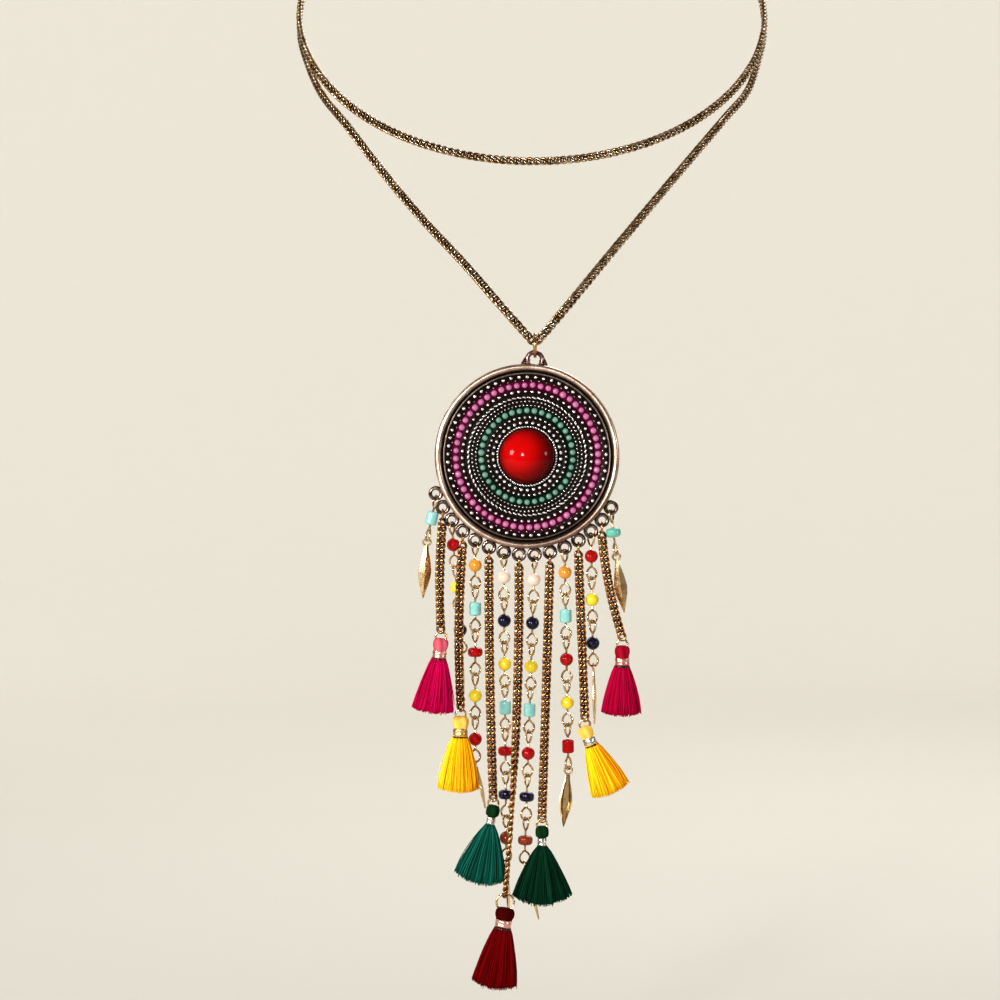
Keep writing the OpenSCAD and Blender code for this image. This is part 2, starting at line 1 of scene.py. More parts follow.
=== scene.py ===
import json
import math
from collections import namedtuple

import bpy
import numpy as np
from mathutils import Matrix, Vector


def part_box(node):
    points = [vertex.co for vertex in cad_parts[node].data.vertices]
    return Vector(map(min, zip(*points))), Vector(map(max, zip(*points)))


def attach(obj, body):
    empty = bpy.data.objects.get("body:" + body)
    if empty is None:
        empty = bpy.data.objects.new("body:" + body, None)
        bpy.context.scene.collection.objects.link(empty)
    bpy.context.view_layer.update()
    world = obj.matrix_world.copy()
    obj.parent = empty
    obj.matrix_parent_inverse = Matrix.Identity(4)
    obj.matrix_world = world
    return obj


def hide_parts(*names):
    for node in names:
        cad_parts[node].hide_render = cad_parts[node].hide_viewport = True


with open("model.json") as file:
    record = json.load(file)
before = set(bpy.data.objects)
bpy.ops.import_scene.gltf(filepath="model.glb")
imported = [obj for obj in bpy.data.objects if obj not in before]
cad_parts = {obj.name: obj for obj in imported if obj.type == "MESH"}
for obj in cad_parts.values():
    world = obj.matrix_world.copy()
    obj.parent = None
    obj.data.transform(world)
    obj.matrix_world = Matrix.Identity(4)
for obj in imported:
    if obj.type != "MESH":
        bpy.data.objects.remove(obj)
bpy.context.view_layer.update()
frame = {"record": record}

# Lengths are in millimetres until a mesh is made; the stage and the lights are in metres
MM = 0.001
SEED = 7
BAND_SEED = 40
SIDES = 8
CHAIN = "neck_chain"
BAIL = "bail"
PENDANT = "pendant"

# Camera: level with the pendant and 0.9 m in front of it; FIELD_W is the width that it sees at the pendant
CAMERA_AT = (-9.1, -988.0, -140.5)
FIELD_W = 260.0
FIELD_AWAY = 900.0
SENSOR = 36.0


def unit(v):
    v = np.asarray(v, float)
    return v / np.maximum(np.linalg.norm(v, axis=-1, keepdims=True), 1e-12)


def box_mm(node):
    lo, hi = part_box(node)
    return np.array(lo) / MM, np.array(hi) / MM


def middle(node):
    lo, hi = box_mm(node)
    return (lo + hi) / 2


# Node helpers for the procedural materials


class Nodes:
    """Short calls for building one material's node tree."""

    def __init__(self, name):
        self.mat = bpy.data.materials.new(name)
        self.mat.use_nodes = True
        self.tree = self.mat.node_tree
        self.shader = self.tree.nodes["Principled BSDF"]

    def add(self, kind, **values):
        node = self.tree.nodes.new(kind)
        for key, value in values.items():
            setattr(node, key, value)
        return node

    def link(self, a, b):
        self.tree.links.new(a, b)

    def place(self, scale=1.0, stretch=(1, 1, 1)):
        """Object coordinates in millimetres times scale."""
        coords = self.add("ShaderNodeTexCoord")
        mapping = self.add("ShaderNodeMapping")
        mapping.inputs["Scale"].default_value = [scale / MM * s for s in stretch]
        self.link(coords.outputs["Object"], mapping.inputs["Vector"])
        return mapping.outputs["Vector"]

    def noise(self, vector, scale, detail=3.0, rough=0.5):
        node = self.add("ShaderNodeTexNoise")
        node.inputs["Scale"].default_value = scale
        node.inputs["Detail"].default_value = detail
        node.inputs["Roughness"].default_value = rough
        self.link(vector, node.inputs["Vector"])
        return node.outputs["Fac"]

    def ramp(self, fac, stops):
        node = self.add("ShaderNodeValToRGB")
        points = node.color_ramp.elements
        while len(points) < len(stops):
            points.new(0.5)
        for point, (at, colour) in zip(points, stops):
            point.position = at
            point.color = (*colour, 1) if len(colour) == 3 else colour
        self.link(fac, node.inputs["Fac"])
        return node.outputs["Color"]

    def mix(self, fac, a, b):
        node = self.add("ShaderNodeMix", data_type="RGBA")
        for key, value in (("Factor", fac), ("A", a), ("B", b)):
            socket = node.inputs[key]
            if isinstance(value, bpy.types.NodeSocket):
                self.link(value, socket)
            else:
                socket.default_value = value if isinstance(value, float) else (*value, 1)
        return node.outputs["Result"]

    def hollow(self, distance, low, high):
        """1 in the open and 0 deep between neighbours, from ambient occlusion."""
        node = self.add("ShaderNodeAmbientOcclusion", samples=6)
        node.inputs["Distance"].default_value = distance * MM
        return self.ramp(node.outputs["AO"], [(low, (0, 0, 0)), (high, (1, 1, 1))])

    def grey(self, fac, low, high, at=(0.3, 0.7)):
        return self.ramp(fac, [(at[0], (low,) * 3), (at[1], (high,) * 3)])

    def bump(self, height, strength, distance):
        node = self.add("ShaderNodeBump")
        node.inputs["Strength"].default_value = strength
        node.inputs["Distance"].default_value = distance * MM
        self.link(height, node.inputs["Height"])
        self.link(node.outputs["Normal"], self.shader.inputs["Normal"])

    def attribute(self, name):
        node = self.add("ShaderNodeAttribute", attribute_name=name)
        return node.outputs["Fac"]

    def colour(self, socket):
        self.link(socket, self.shader.inputs["Base Color"])

    def rough(self, socket):
        self.link(socket, self.shader.inputs["Roughness"])

    def set(self, **values):
        for key, value in values.items():
            self.shader.inputs[key.replace("_", " ")].default_value = value
        return self.mat


def metal(name, bright, body, dark, rough=(0.18, 0.36), hollow=(0.9, 0.25, 0.85), scuff=0.9, toned=False):
    """Plated alloy: bright in the open and dark in the hollows, partly patina and partly painted shade between
    neighbours; when toned, painted shade where tone is low; fine scuffs.
    """
    n = Nodes(name)
    at = n.place()
    patches = n.noise(at, 0.45, 4)
    skin = n.mix(n.grey(patches, 0.0, 1.0, (0.35, 0.68)), body, bright)
    if toned:
        # Painted shade in a leaf's hollow: where tone is low the colour goes towards the dark one, darkest in a
        # line where the hollow rises to its rims
        painted_hollow_shade = n.ramp(n.attribute("tone"), [(0.1, (0.55,) * 3), (0.55, (0.12,) * 3), (0.8, (1,) * 3)])
        skin = n.mix(painted_hollow_shade, dark, skin)
    # Darker in the hollows: partly patina, partly painted shade between neighbouring parts
    n.colour(n.mix(n.hollow(*hollow), dark, skin))
    fine = n.noise(at, 3.2, 5, 0.65)
    n.rough(n.grey(fine, *rough))
    n.bump(fine, 0.22 * scuff, 0.05)
    return n.set(Metallic=1.0)


def glaze(name, colour, shade, rough=(0.06, 0.2), speck=0.5, coat=0.3, shine=0.45, hollow=(0.8, 0.15, 0.8)):
    """Opaque glass or enamel: even colour, painted shade where it meets its neighbour, small flaws."""
    n = Nodes(name)
    at = n.place()
    cloud = n.noise(at, 0.5, 3)
    tone = n.mix(n.grey(cloud, 0.0, 1.0, (0.3, 0.75)), colour, [c * 0.82 for c in colour])
    # Painted shade where it meets its neighbour
    n.colour(n.mix(n.hollow(*hollow), shade, tone))
    fine = n.noise(at, 2.2, 4)
    n.rough(n.grey(fine, *rough))
    n.bump(n.noise(at, 1.1, 2), 0.12 * speck, 0.12)
    return n.set(Coat_Weight=coat, Coat_Roughness=0.05, Specular_IOR_Level=shine)


def resin(name, lit):
    """A poured stone with painted light and shade: darker towards its edge and at one side, where tone is low.
    """
    n = Nodes(name)
    at = n.place()
    cloud = n.grey(n.noise(at, 0.3, 3), 0.0, 0.35)
    skin = n.mix(cloud, lit, [c * 0.75 for c in lit])
    # Painted shade where tone is low
    n.colour(n.mix(n.attribute("tone"), [c * 0.05 for c in lit], skin))
    n.rough(n.grey(n.noise(at, 2.2, 4), 0.06, 0.12))
    n.bump(n.noise(at, 1.1, 2), 0.03, 0.1)
    return n.set(Specular_IOR_Level=0.09)


def thread(name, lit, deep):
    """Spun cotton: each thread a tone between a shade colour and a lit colour, which carries random variation
    and painted light and shade, with painted shade in the grooves between threads and fine fibres along it.
    """
    n = Nodes(name)
    tone = n.attribute("tone")
    base = n.ramp(tone, [(0.0, deep), (0.55, [(a + b) / 2 for a, b in zip(lit, deep)]), (1.0, lit)])
    # Painted shade in the grooves between threads
    n.colour(n.mix(n.hollow(0.7, 0.05, 0.6), [c * 0.4 for c in deep], base))
    fibre = n.noise(n.place(stretch=(1, 1, 0.12)), 6.0, 4, 0.7)
    n.rough(n.grey(fibre, 0.62, 0.85))
    n.bump(fibre, 0.5, 0.08)
    return n.set(Sheen_Weight=0.0, Specular_IOR_Level=0.02)


# The disc's colours: the radius at 1 on their ramps, and the reach and direction of the painted shade that
# darkens the rim towards the lower right
RAMP_REACH = 30.0
SHADE_REACH = 25.0
SHADE_WAY = (0.55, 0, -0.835)


def on_off(n, fac, rise, fall):
    """1 between two radii and 0 outside them, each edge given as (start, end) on the ramp."""
    return n.ramp(fac, [(rise[0], (0, 0, 0)), (rise[1], (1, 1, 1)), (fall[0], (1, 1, 1)), (fall[1], (0, 0, 0))])


def dish(name, middle_at):
    """The cast disc: dark patina on the floor, darker still in the hollows with patina and painted shade, a rim
    that is pale on its outer round and dark on its inner slope, painted shade on the rim towards the lower
    right, and a plain satin back where tone is 0.
    """
    n = Nodes(name)
    coords = n.add("ShaderNodeTexCoord")
    shift = n.add("ShaderNodeVectorMath", operation="SUBTRACT")
    shift.inputs[1].default_value = [c * MM for c in middle_at]
    n.link(coords.outputs["Object"], shift.inputs[0])
    reach = n.add("ShaderNodeVectorMath", operation="LENGTH")
    n.link(shift.outputs["Vector"], reach.inputs[0])
    scale = n.add("ShaderNodeMath", operation="MULTIPLY")
    scale.inputs[1].default_value = 1 / (RAMP_REACH * MM)
    n.link(reach.outputs["Value"], scale.inputs[0])
    place = n.place()
    patches = n.noise(place, 0.35, 4)
    rose = n.mix(n.grey(patches, 0.0, 1.0, (0.35, 0.7)), (0.40, 0.26, 0.19), (0.76, 0.59, 0.48))
    floor = n.mix(n.noise(place, 1.2, 4), (0.002, 0.0012, 0.001), (0.010, 0.005, 0.004))
    away = scale.outputs["Value"]
    # How pale the metal is against the radius: pale on the rim's outer round, dark on its inner slope, partly
    # pale on the lip
    rim_pale_shares = ((0.706, 0), (0.716, 0.3), (0.73, 0.3), (0.736, 0.03), (0.748, 0.12), (0.764, 1))
    edge = n.ramp(away, [(at, (pale_share,) * 3) for at, pale_share in rim_pale_shares])
    floor = n.mix(on_off(n, away, (0.558, 0.572), (0.655, 0.672)), floor, (0.035, 0.0005, 0.009))
    floor = n.mix(on_off(n, away, (0.345, 0.358), (0.434, 0.447)), floor, (0.0003, 0.006, 0.003))
    # Painted shade: the rim darkens towards the lower right
    aside = n.add("ShaderNodeVectorMath", operation="DOT_PRODUCT")
    aside.inputs[1].default_value = [way / (SHADE_REACH * MM) for way in SHADE_WAY]
    n.link(shift.outputs["Vector"], aside.inputs[0])
    rim_painted_shade = n.ramp(aside.outputs["Value"], [(0.45, (0, 0, 0)), (0.9, (0.75,) * 3)])
    rose = n.mix(rim_painted_shade, rose, (0.12, 0.065, 0.045))
    plain = n.mix(n.grey(patches, 0.0, 1.0, (0.3, 0.7)), (0.30, 0.18, 0.13), (0.42, 0.27, 0.20))
    front_side = n.attribute("tone")
    skin = n.mix(front_side, plain, n.mix(edge, floor, rose))
    # Darker in the hollows: partly patina, partly painted shade
    n.colour(n.mix(n.hollow(1.4, 0.3, 0.8), (0.005, 0.003, 0.002), skin))
    fine = n.noise(place, 2.6, 5, 0.65)
    n.rough(n.grey(fine, 0.2, 0.42))
    n.bump(fine, 0.2, 0.05)
    raised = n.ramp(edge, [(0.0, (0, 0, 0)), (0.25, (1, 1, 1))])
    n.link(n.mix(front_side, (1, 1, 1), raised), n.shader.inputs["Metallic"])
    return n.set(Specular_IOR_Level=0.02)


# The hollow settings give the reach and ramp of each metal's darkening in its hollows, partly patina and partly
# painted shade
chain_metal = metal("chain_antique", (0.78, 0.40, 0.16), (0.27, 0.095, 0.022), (0.014, 0.003, 0.0005),
                    rough=(0.1, 0.22), hollow=(1.0, 0.5, 0.98))
neck_metal = metal("chain_dark", (0.78, 0.55, 0.35), (0.20, 0.10, 0.026), (0.016, 0.006, 0.0004),
                   rough=(0.09, 0.2), hollow=(1.0, 0.5, 0.98))
pin_metal = metal("wire_pale_gold", (0.94, 0.70, 0.42), (0.46, 0.28, 0.11), (0.035, 0.014, 0.004),
                  rough=(0.08, 0.2), hollow=(0.9, 0.25, 0.85))
leaf_metal = metal("leaf_gold", (0.96, 0.70, 0.38), (0.64, 0.38, 0.14), (0.07, 0.028, 0.008),
                   rough=(0.14, 0.28), hollow=(1.4, 0.3, 0.85), scuff=0.4, toned=True)
cast_metal = metal("cast_dark", (0.34, 0.22, 0.18), (0.035, 0.02, 0.015), (0.003, 0.002, 0.0015),
                   rough=(0.08, 0.2), hollow=(1.0, 0.4, 0.97))
bail_metal = metal("cast_plum", (0.36, 0.20, 0.18), (0.09, 0.038, 0.036), (0.008, 0.003, 0.003),
                   rough=(0.14, 0.28), hollow=(1.4, 0.35, 0.97))
silver_metal = metal("granule_silver", (1.0, 0.98, 0.96), (0.98, 0.93, 0.90), (0.10, 0.06, 0.05),
                     rough=(0.18, 0.3), hollow=(0.4, 0.0, 0.4))
foil_pink = metal("foil_pink", (0.96, 0.56, 0.46), (0.64, 0.27, 0.22), (0.16, 0.04, 0.035),
                  rough=(0.2, 0.42), hollow=(0.4, 0.1, 0.5), scuff=2.4)
foil_gold = metal("foil_gold", (0.90, 0.58, 0.24), (0.50, 0.27, 0.07), (0.10, 0.04, 0.008),
                  rough=(0.2, 0.4), hollow=(0.4, 0.1, 0.5), scuff=2.4)
foil_silver = metal("foil_silver", (0.94, 0.90, 0.84), (0.50, 0.45, 0.39), (0.07, 0.06, 0.05),
                    rough=(0.14, 0.34), hollow=(0.4, 0.1, 0.5), scuff=2.4)
binding_metal = metal("binding_dark", (0.10, 0.07, 0.05), (0.03, 0.02, 0.015), (0.004, 0.003, 0.002))

# Glazes: colour and the painted shade where a bead meets its neighbour, then for some the roughness, flaws,
# coat and shine
GLAZES = {
    "bead_aqua": ((0.26, 0.62, 0.58), (0.03, 0.20, 0.19)),
    "bead_red": ((0.37, 0.001, 0.002), (0.06, 0.0, 0.0005), (0.06, 0.16), 0.5, 0.1, 0.16),
    "bead_yellow": ((0.90, 0.68, 0.02), (0.42, 0.24, 0.01)),
    "bead_orange": ((0.72, 0.29, 0.02), (0.26, 0.06, 0.01)),
    "bead_navy": ((0.003, 0.002, 0.02), (0.001, 0.001, 0.004), (0.05, 0.12), 0.3, 0.12, 0.25),
    "bead_ivory": ((0.82, 0.64, 0.52), (0.40, 0.20, 0.15)),
    "bead_amber": ((0.24, 0.028, 0.006), (0.06, 0.006, 0.002), (0.06, 0.2), 0.5, 0.15, 0.25),
    "bead_sea_green": ((0.12, 0.47, 0.35), (0.02, 0.14, 0.10)),
}
glazes = {key: glaze(key, *value) for key, value in GLAZES.items()}
stone_red = resin("stone_red", (0.50, 0.0005, 0.0006))
# The ring beads: strong painted shade where each bead meets its neighbours and the band
green_enamel = glaze("enamel_green", (0.14, 0.31, 0.235), (0.0005, 0.014, 0.007), rough=(0.1, 0.2),
                     hollow=(2.2, 0.35, 0.97))
pink_enamel = glaze("enamel_pink", (0.54, 0.14, 0.34), (0.14, 0.001, 0.03), rough=(0.1, 0.2),
                    hollow=(2.2, 0.35, 0.97))
green_band = glaze("band_green", (0.0005, 0.014, 0.007), (0.0002, 0.004, 0.002), rough=(0.4, 0.6), coat=0.0,
                   shine=0.03)
pink_band = glaze("band_plum", (0.085, 0.001, 0.019), (0.025, 0.0, 0.006), rough=(0.4, 0.6), coat=0.0,
                  shine=0.03)

# Threads: a lit colour and a shade colour; each thread's tone lies between them, partly at random and partly as
# painted light and shade
THREADS = {
    "magenta": ((0.72, 0.001, 0.11), (0.34, 0.0, 0.018)),
    "berry": ((0.48, 0.001, 0.05), (0.30, 0.0, 0.014)),
    "yellow": ((0.98, 0.68, 0.01), (0.92, 0.27, 0.002)),
    "teal": ((0.008, 0.15, 0.105), (0.0, 0.014, 0.008)),
    "green": ((0.004, 0.048, 0.022), (0.0, 0.006, 0.002)),
    "crimson": ((0.15, 0.0, 0.001), (0.085, 0.0, 0.0004)),
    "moss": ((0.006, 0.036, 0.010), (0.001, 0.010, 0.003)),
    "garnet": ((0.055, 0.0, 0.0003), (0.03, 0.0, 0.0)),
    "rose": ((0.74, 0.15, 0.21), (0.46, 0.03, 0.05)),
    "straw": ((0.90, 0.65, 0.14), (0.78, 0.40, 0.03)),
    "cherry": ((0.38, 0.006, 0.024), (0.20, 0.0, 0.008)),
}
threads = {key: thread("thread_" + key, *value) for key, value in THREADS.items()}


# Mesh helpers: a shape is (points in millimetres, list of faces)


def grid_faces(rows, cols, closed_rows=False):
    """Quads of a grid of rows by cols points, stored row after row; each row is a closed ring."""
    a, b = np.meshgrid(np.arange(rows if closed_rows else rows - 1), np.arange(cols), indexing="ij")
    a2 = (a + 1) % rows
    b2 = (b + 1) % cols
    corners = [a * cols + b, a * cols + b2, a2 * cols + b2, a2 * cols + b]
    return np.stack(corners, -1).reshape(-1, 4).tolist()


def angles(count):
    """Even angles round a full turn."""
    return np.arange(count) / count * 2 * math.pi


def end_faces(rows, count):
    """The faces that close both ends of a grid of rows by count points."""
    return [list(range(count))[::-1], [(rows - 1) * count + k for k in range(count)]]


def add_mesh(name, points, faces, material, body, slot, stands_for=(), smooth=True, tone=None):
    """One finished piece from points in millimetres."""
    mesh = bpy.data.meshes.new(name)
    mesh.from_pydata((np.asarray(points) * MM).tolist(), [], [list(map(int, f)) for f in faces])
    mesh.validate()
    mesh.polygons.foreach_set("use_smooth", [smooth] * len(mesh.polygons))
    if tone is not None:
        layer = mesh.attributes.new("tone", "FLOAT", "POINT")
        layer.data.foreach_set("value", np.asarray(tone, np.float32))
    mesh.materials.append(material)
    piece = bpy.data.objects.new(name, mesh)
    bpy.context.scene.collection.objects.link(piece)
    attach(piece, body)
    if stands_for:
        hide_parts(*stands_for)
    return piece


def joined(shapes):
    """Many (points, faces) shapes as one."""
    points, faces, shift = [], [], 0
    for p, f in shapes:
        points.append(np.asarray(p))
        faces.extend([[int(v) + shift for v in face] for face in f])
        shift += len(p)
    return np.concatenate(points), faces


def lathe(profile, count):
    """A profile of (radius, height) turned about Z, with its ends closed on the axis."""
    profile = np.asarray(profile, float)
    a = angles(count)
    ring = np.stack([np.cos(a), np.sin(a)], -1)
    points = np.concatenate([np.concatenate([ring * r, np.full((count, 1), h)], 1) for r, h in profile])
    return points, grid_faces(len(profile), count) + end_faces(len(profile), count)


def tube(path, radius, sides=SIDES, closed=False):
    """A round wire along a path; radius may be one number or one for each point."""
    path = np.asarray(path, float)
    n = len(path)
    if closed:
        along = np.roll(path, -1, 0) - np.roll(path, 1, 0)
    else:
        along = np.gradient(path, axis=0)
    along = unit(along)
    guess = np.array([0, 0, 1.0]) if abs(along[0][2]) < 0.8 else np.array([1.0, 0, 0])
    side = unit(np.cross(along[0], guess))
    sides_at = [side]
    for k in range(1, n):
        side = sides_at[-1] - along[k] * np.dot(sides_at[-1], along[k])
        sides_at.append(unit(side))
    sides_at = np.array(sides_at)
    if closed:
        # Spread the twist that is left after one turn
        last = sides_at[-1] - along[0] * np.dot(sides_at[-1], along[0])
        up0 = np.cross(along[0], sides_at[0])
        off = math.atan2(np.dot(last, up0), np.dot(last, sides_at[0]))
        turn = -off * np.arange(n) / n
        up = np.cross(along, sides_at)
        sides_at = sides_at * np.cos(turn)[:, None] + up * np.sin(turn)[:, None]
    up = np.cross(along, sides_at)
    radius = np.broadcast_to(np.asarray(radius, float), (n,))
    a = angles(sides)
    rings = (path[:, None] + radius[:, None, None]
             * (np.cos(a)[None, :, None] * sides_at[:, None] + np.sin(a)[None, :, None] * up[:, None]))
    faces = grid_faces(n, sides, closed_rows=closed)
    return rings.reshape(-1, 3), faces + ([] if closed else end_faces(n, sides))


def ball(rings=7, count=12):
    """A unit sphere with its poles on Z."""
    profile = [(math.sin(t), -math.cos(t)) for t in np.linspace(0, math.pi, rings + 2)[1:-1]]
    points, faces = lathe(profile, count)
    faces = faces[:-2]
    low, high = len(points), len(points) + 1
    points = np.concatenate([points, [[0, 0, -1], [0, 0, 1]]])
    top = (rings - 1) * count
    for k in range(count):
        faces.append([(k + 1) % count, k, low])
        faces.append([top + k, top + (k + 1) % count, high])
    return points, faces


def many(shape, places):
    """Copies of a shape at (origin, 3x3 columns) places, as one shape."""
    points, faces = shape
    points = np.asarray(points)
    out = [origin + points @ np.asarray(axes).T for origin, axes in places]
    shifts = range(0, len(places) * len(points), len(points))
    return np.concatenate(out), [[v + shift for v in face] for shift in shifts for face in faces]


# Places that the source gives too, in the same millimetres

# Front of the outer turn: shares of half the turn's width, of DROP_OUT and of DROP_DOWN
LEGS = [
    (0.9, -0.3, -0.27), (0.782, -0.466, -0.37), (0.618, -0.625, -0.503), (0.445, -0.767, -0.644),
    (0.279, -0.892, -0.78), (0.128, -0.977, -0.905), (0.036, -1, -0.978), (0, -1, -1), (-0.036, -1, -0.978),
    (-0.128, -0.977, -0.908), (-0.279, -0.892, -0.788), (-0.445, -0.77, -0.664), (-0.603, -0.639, -0.533),
    (-0.762, -0.489, -0.389), (-0.888, -0.31, -0.274),
]
DROP_OUT, DROP_DOWN = 88.0, 99.4
TURN = np.array([132.6, 116.0, 99.0]) / 2
TURN_GAP = 3.1
CROSS_FROM = 140.0
SIDE_FROM = 76.0
CLASP_REACH = 6.12
PLANE_DOWN = unit([0, TURN[2], -TURN[1]])
NAPE_OUT = unit([0, TURN[1], TURN[2]])
LEAN = math.radians(4.6)

disc_at = middle("cabochon")
bail_at = middle("bail_ring")
disc_lo, disc_hi = box_mm("medallion")
disc_at[1] = (disc_lo[1] + disc_hi[1]) / 2
DISC_R = 24.0
RIM_T = disc_hi[1] - disc_lo[1]
FLOOR_T = 2.2
EYELET_R = DISC_R + 1.6
EYELET_COUNT = 15
EYELET_STEP = math.radians(9.03)
EYELET_D = 3.9
EYELET_WIRE = 1.0
EYELET_MID = (EYELET_D - EYELET_WIRE) / 2

# The disc's own axes: across, up and towards the front
DISC_X = np.array([math.cos(LEAN), 0, -math.sin(LEAN)])
DISC_UP = np.array([math.sin(LEAN), 0, math.cos(LEAN)])
FRONT = np.array([0, -1.0, 0])


def in_disc(height):
    """A point on the disc's axis: height is measured from its back."""
    return disc_at + FRONT * (height - RIM_T / 2)


def turned_to_disc(points):
    """Points of a lathe about Z, set with its axis to the front of the disc."""
    p = np.asarray(points)
    return disc_at + p[:, :1] * DISC_X + p[:, 1:2] * DISC_UP + (p[:, 2:3] - RIM_T / 2) * FRONT


def eyelet(k):
    a = math.radians(270) - LEAN + (k - EYELET_COUNT // 2) * EYELET_STEP
    return disc_at + np.array([math.cos(a), 0, math.sin(a)]) * EYELET_R


def smooth_path(points, per_span=12):
    """A smooth curve through the points."""
    p = np.asarray(points, float)
    p = np.concatenate([[2 * p[0] - p[1]], p, [2 * p[-1] - p[-2]]])
    out = []
    for i in range(1, len(p) - 2):
        for f in np.arange(per_span) / per_span:
            a, b, c, d = p[i - 1:i + 3]
            out.append((2 * b + (c - a) * f + (2 * a - 5 * b + 4 * c - d) * f ** 2
                        + (3 * b - a - 3 * c + d) * f ** 3) / 2)
    out.append(p[-2])
    return np.array(out)


def turn_point(angle, outer):
    """A point of the inner or outer turn at an angle from the front, in degrees."""
    side = 1 if angle < 0 else -1
    q = math.radians(90 * max(0.0, (abs(angle) - CROSS_FROM) / (180 - CROSS_FROM)))
    a = math.radians(angle)
    base = TURN * np.array([math.sin(a), -math.cos(a), -math.cos(a)])
    swap = 1 if outer else -1
    return (base + PLANE_DOWN * (TURN_GAP / 2 * (1 + swap * math.cos(q)))
            - NAPE_OUT * (swap * side * TURN_GAP / 2 * math.sin(q)))


# Half the stretch of path that a link takes its direction from
LOOK = 0.4


def even_places(path, pitch):
    """Places a pitch apart along a path, stretched so that they fill it, with their directions."""
    step = np.linalg.norm(np.diff(path, axis=0), axis=1)
    run = np.concatenate([[0], np.cumsum(step)])
    count = max(2, round(run[-1] / pitch))
    at = (np.arange(count) + 0.5) * run[-1] / count
    ends = [np.stack([np.interp(at + d, run, path[:, k]) for k in range(3)], -1) for d in (-LOOK, LOOK)]
    return (ends[0] + ends[1]) / 2, unit(ends[1] - ends[0])


# Curb chain


def curb_link(pitch, width, wire, twist, flat, segments=18, sides=7):
    """One link along X: an oval ring twisted end to end and ground flat on both faces."""
    a = pitch / 2 + wire / 2
    b = (width - wire) / 2
    t = angles(segments)
    x = a * np.sign(np.cos(t)) * np.abs(np.cos(t)) ** 0.9
    y = b * np.sin(t)
    turn = twist * x / a
    path = np.stack([x, y * np.cos(turn), y * np.sin(turn)], -1)
    points, faces = tube(path, wire / 2, sides, closed=True)
    points[:, 2] = np.clip(points[:, 2], -flat, flat)
    return points, faces


# Links: pitch, width over all, wire, half the thickness that the links are ground to
NECK_LINK = (1.82, 2.5, 0.86, 0.8)
DROP_LINK = (1.56, 2.56, 0.8, 0.72)
TWIST = math.radians(44)
# How unevenly the links lie, in radians
LINK_SWAY = 0.045


def curb_chain(name, path, facing, link, stands_for, body):
    """Real links along a path; facing gives each link's flat side."""
    pitch, width, wire, flat = link
    at, along = even_places(np.asarray(path), pitch)
    face = facing(at)
    face = unit(face - along * np.sum(face * along, -1, keepdims=True))
    side = np.cross(face, along)
    rng = np.random.default_rng(SEED + len(at))
    sway = rng.normal(0, LINK_SWAY, len(at))[:, None]
    face, side = face * np.cos(sway) + side * np.sin(sway), side * np.cos(sway) - face * np.sin(sway)
    places = [(at[k], np.stack([along[k], side[k], face[k]], -1)) for k in range(len(at))]
    points, faces = many(curb_link(pitch, width, wire, TWIST, flat), places)
    plating = neck_metal if body == CHAIN else chain_metal
    return add_mesh(name, points, faces, plating, body, "chain_metal", stands_for)


def neck_facing(at):
    """The neck chain lies flat on the neck and chest."""
    out = unit(at * np.array([1.0, 1.0, 0.0]) + np.array([0, 10.0, 0]))
    out[:, 2] = 0.55
    return unit(out)


clasp_angle = math.degrees(math.asin(CLASP_REACH / TURN[0]))
front = np.array(LEGS) * [TURN[0], DROP_OUT, DROP_DOWN]
behind_right = [turn_point(a, True) for a in np.linspace(180 - clasp_angle, SIDE_FROM, 12)]
behind_left = [turn_point(a, True) for a in np.linspace(-SIDE_FROM, -180, 12)]
long_path = smooth_path([*behind_right, *front, *behind_left])
short_path = np.array([turn_point(a, False) for a in np.linspace(-180 + clasp_angle, 179.8, 240)])
curb_chain("neck_chain_outer_links", long_path, neck_facing, NECK_LINK, ["neck_chain_long"], CHAIN)
curb_chain("neck_chain_inner_links", short_path, neck_facing, NECK_LINK, ["neck_chain_short"], CHAIN)

# Fringe chains: drop, shift, bow and fore (forward shift) are shares of FRINGE_L, and turn is the lower half's
FRINGE_L = 87.0
Drop = namedtuple("Drop", "eyelet drop shift bow fore turn")
CHAINS = [Drop(*row) for row in (
    (1, 0.3644, -0.0046, -0.0057, 0.0644, 25),
    (3, 0.5264, -0.0057, -0.008, 0.0368, -15),
    (5, 0.7414, 0.0126, -0.0034, 0.0529, 15),
    (7, 1, -0.0414, 0.0115, 0.0851, 80),
    (9, 0.7885, -0.0241, 0, 0.0575, 20),
    (11, 0.5287, 0.0184, 0, 0.0299, -20),
    (13, 0.3494, 0.0598, -0.0092, 0.0276, 15),
)]
HANG_GAP = 0.12
RING_D = 3.3
BIG_RING_D = 5.1
RING_WIRE = 0.6
ring_mid = (RING_D - RING_WIRE) / 2
ring_top = EYELET_WIRE / 2 + RING_WIRE / 2 + HANG_GAP


def drop_point(row, t):
    """A point of a fringe chain, from its top at 0 to its foot at 1."""
    drop, shift, bow, fore = (share * FRINGE_L for share in row[1:5])
    e = eyelet(row.eyelet)
    top = e[2] - (EYELET_MID + 2 * ring_mid - ring_top + RING_WIRE / 2 + HANG_GAP)
    foot = e[2] - drop
    return np.array([e[0] + shift * t + bow * 4 * t * (1 - t), e[1] - fore * (1 - (1 - t) ** 2),
                     top + (foot - top) * t])


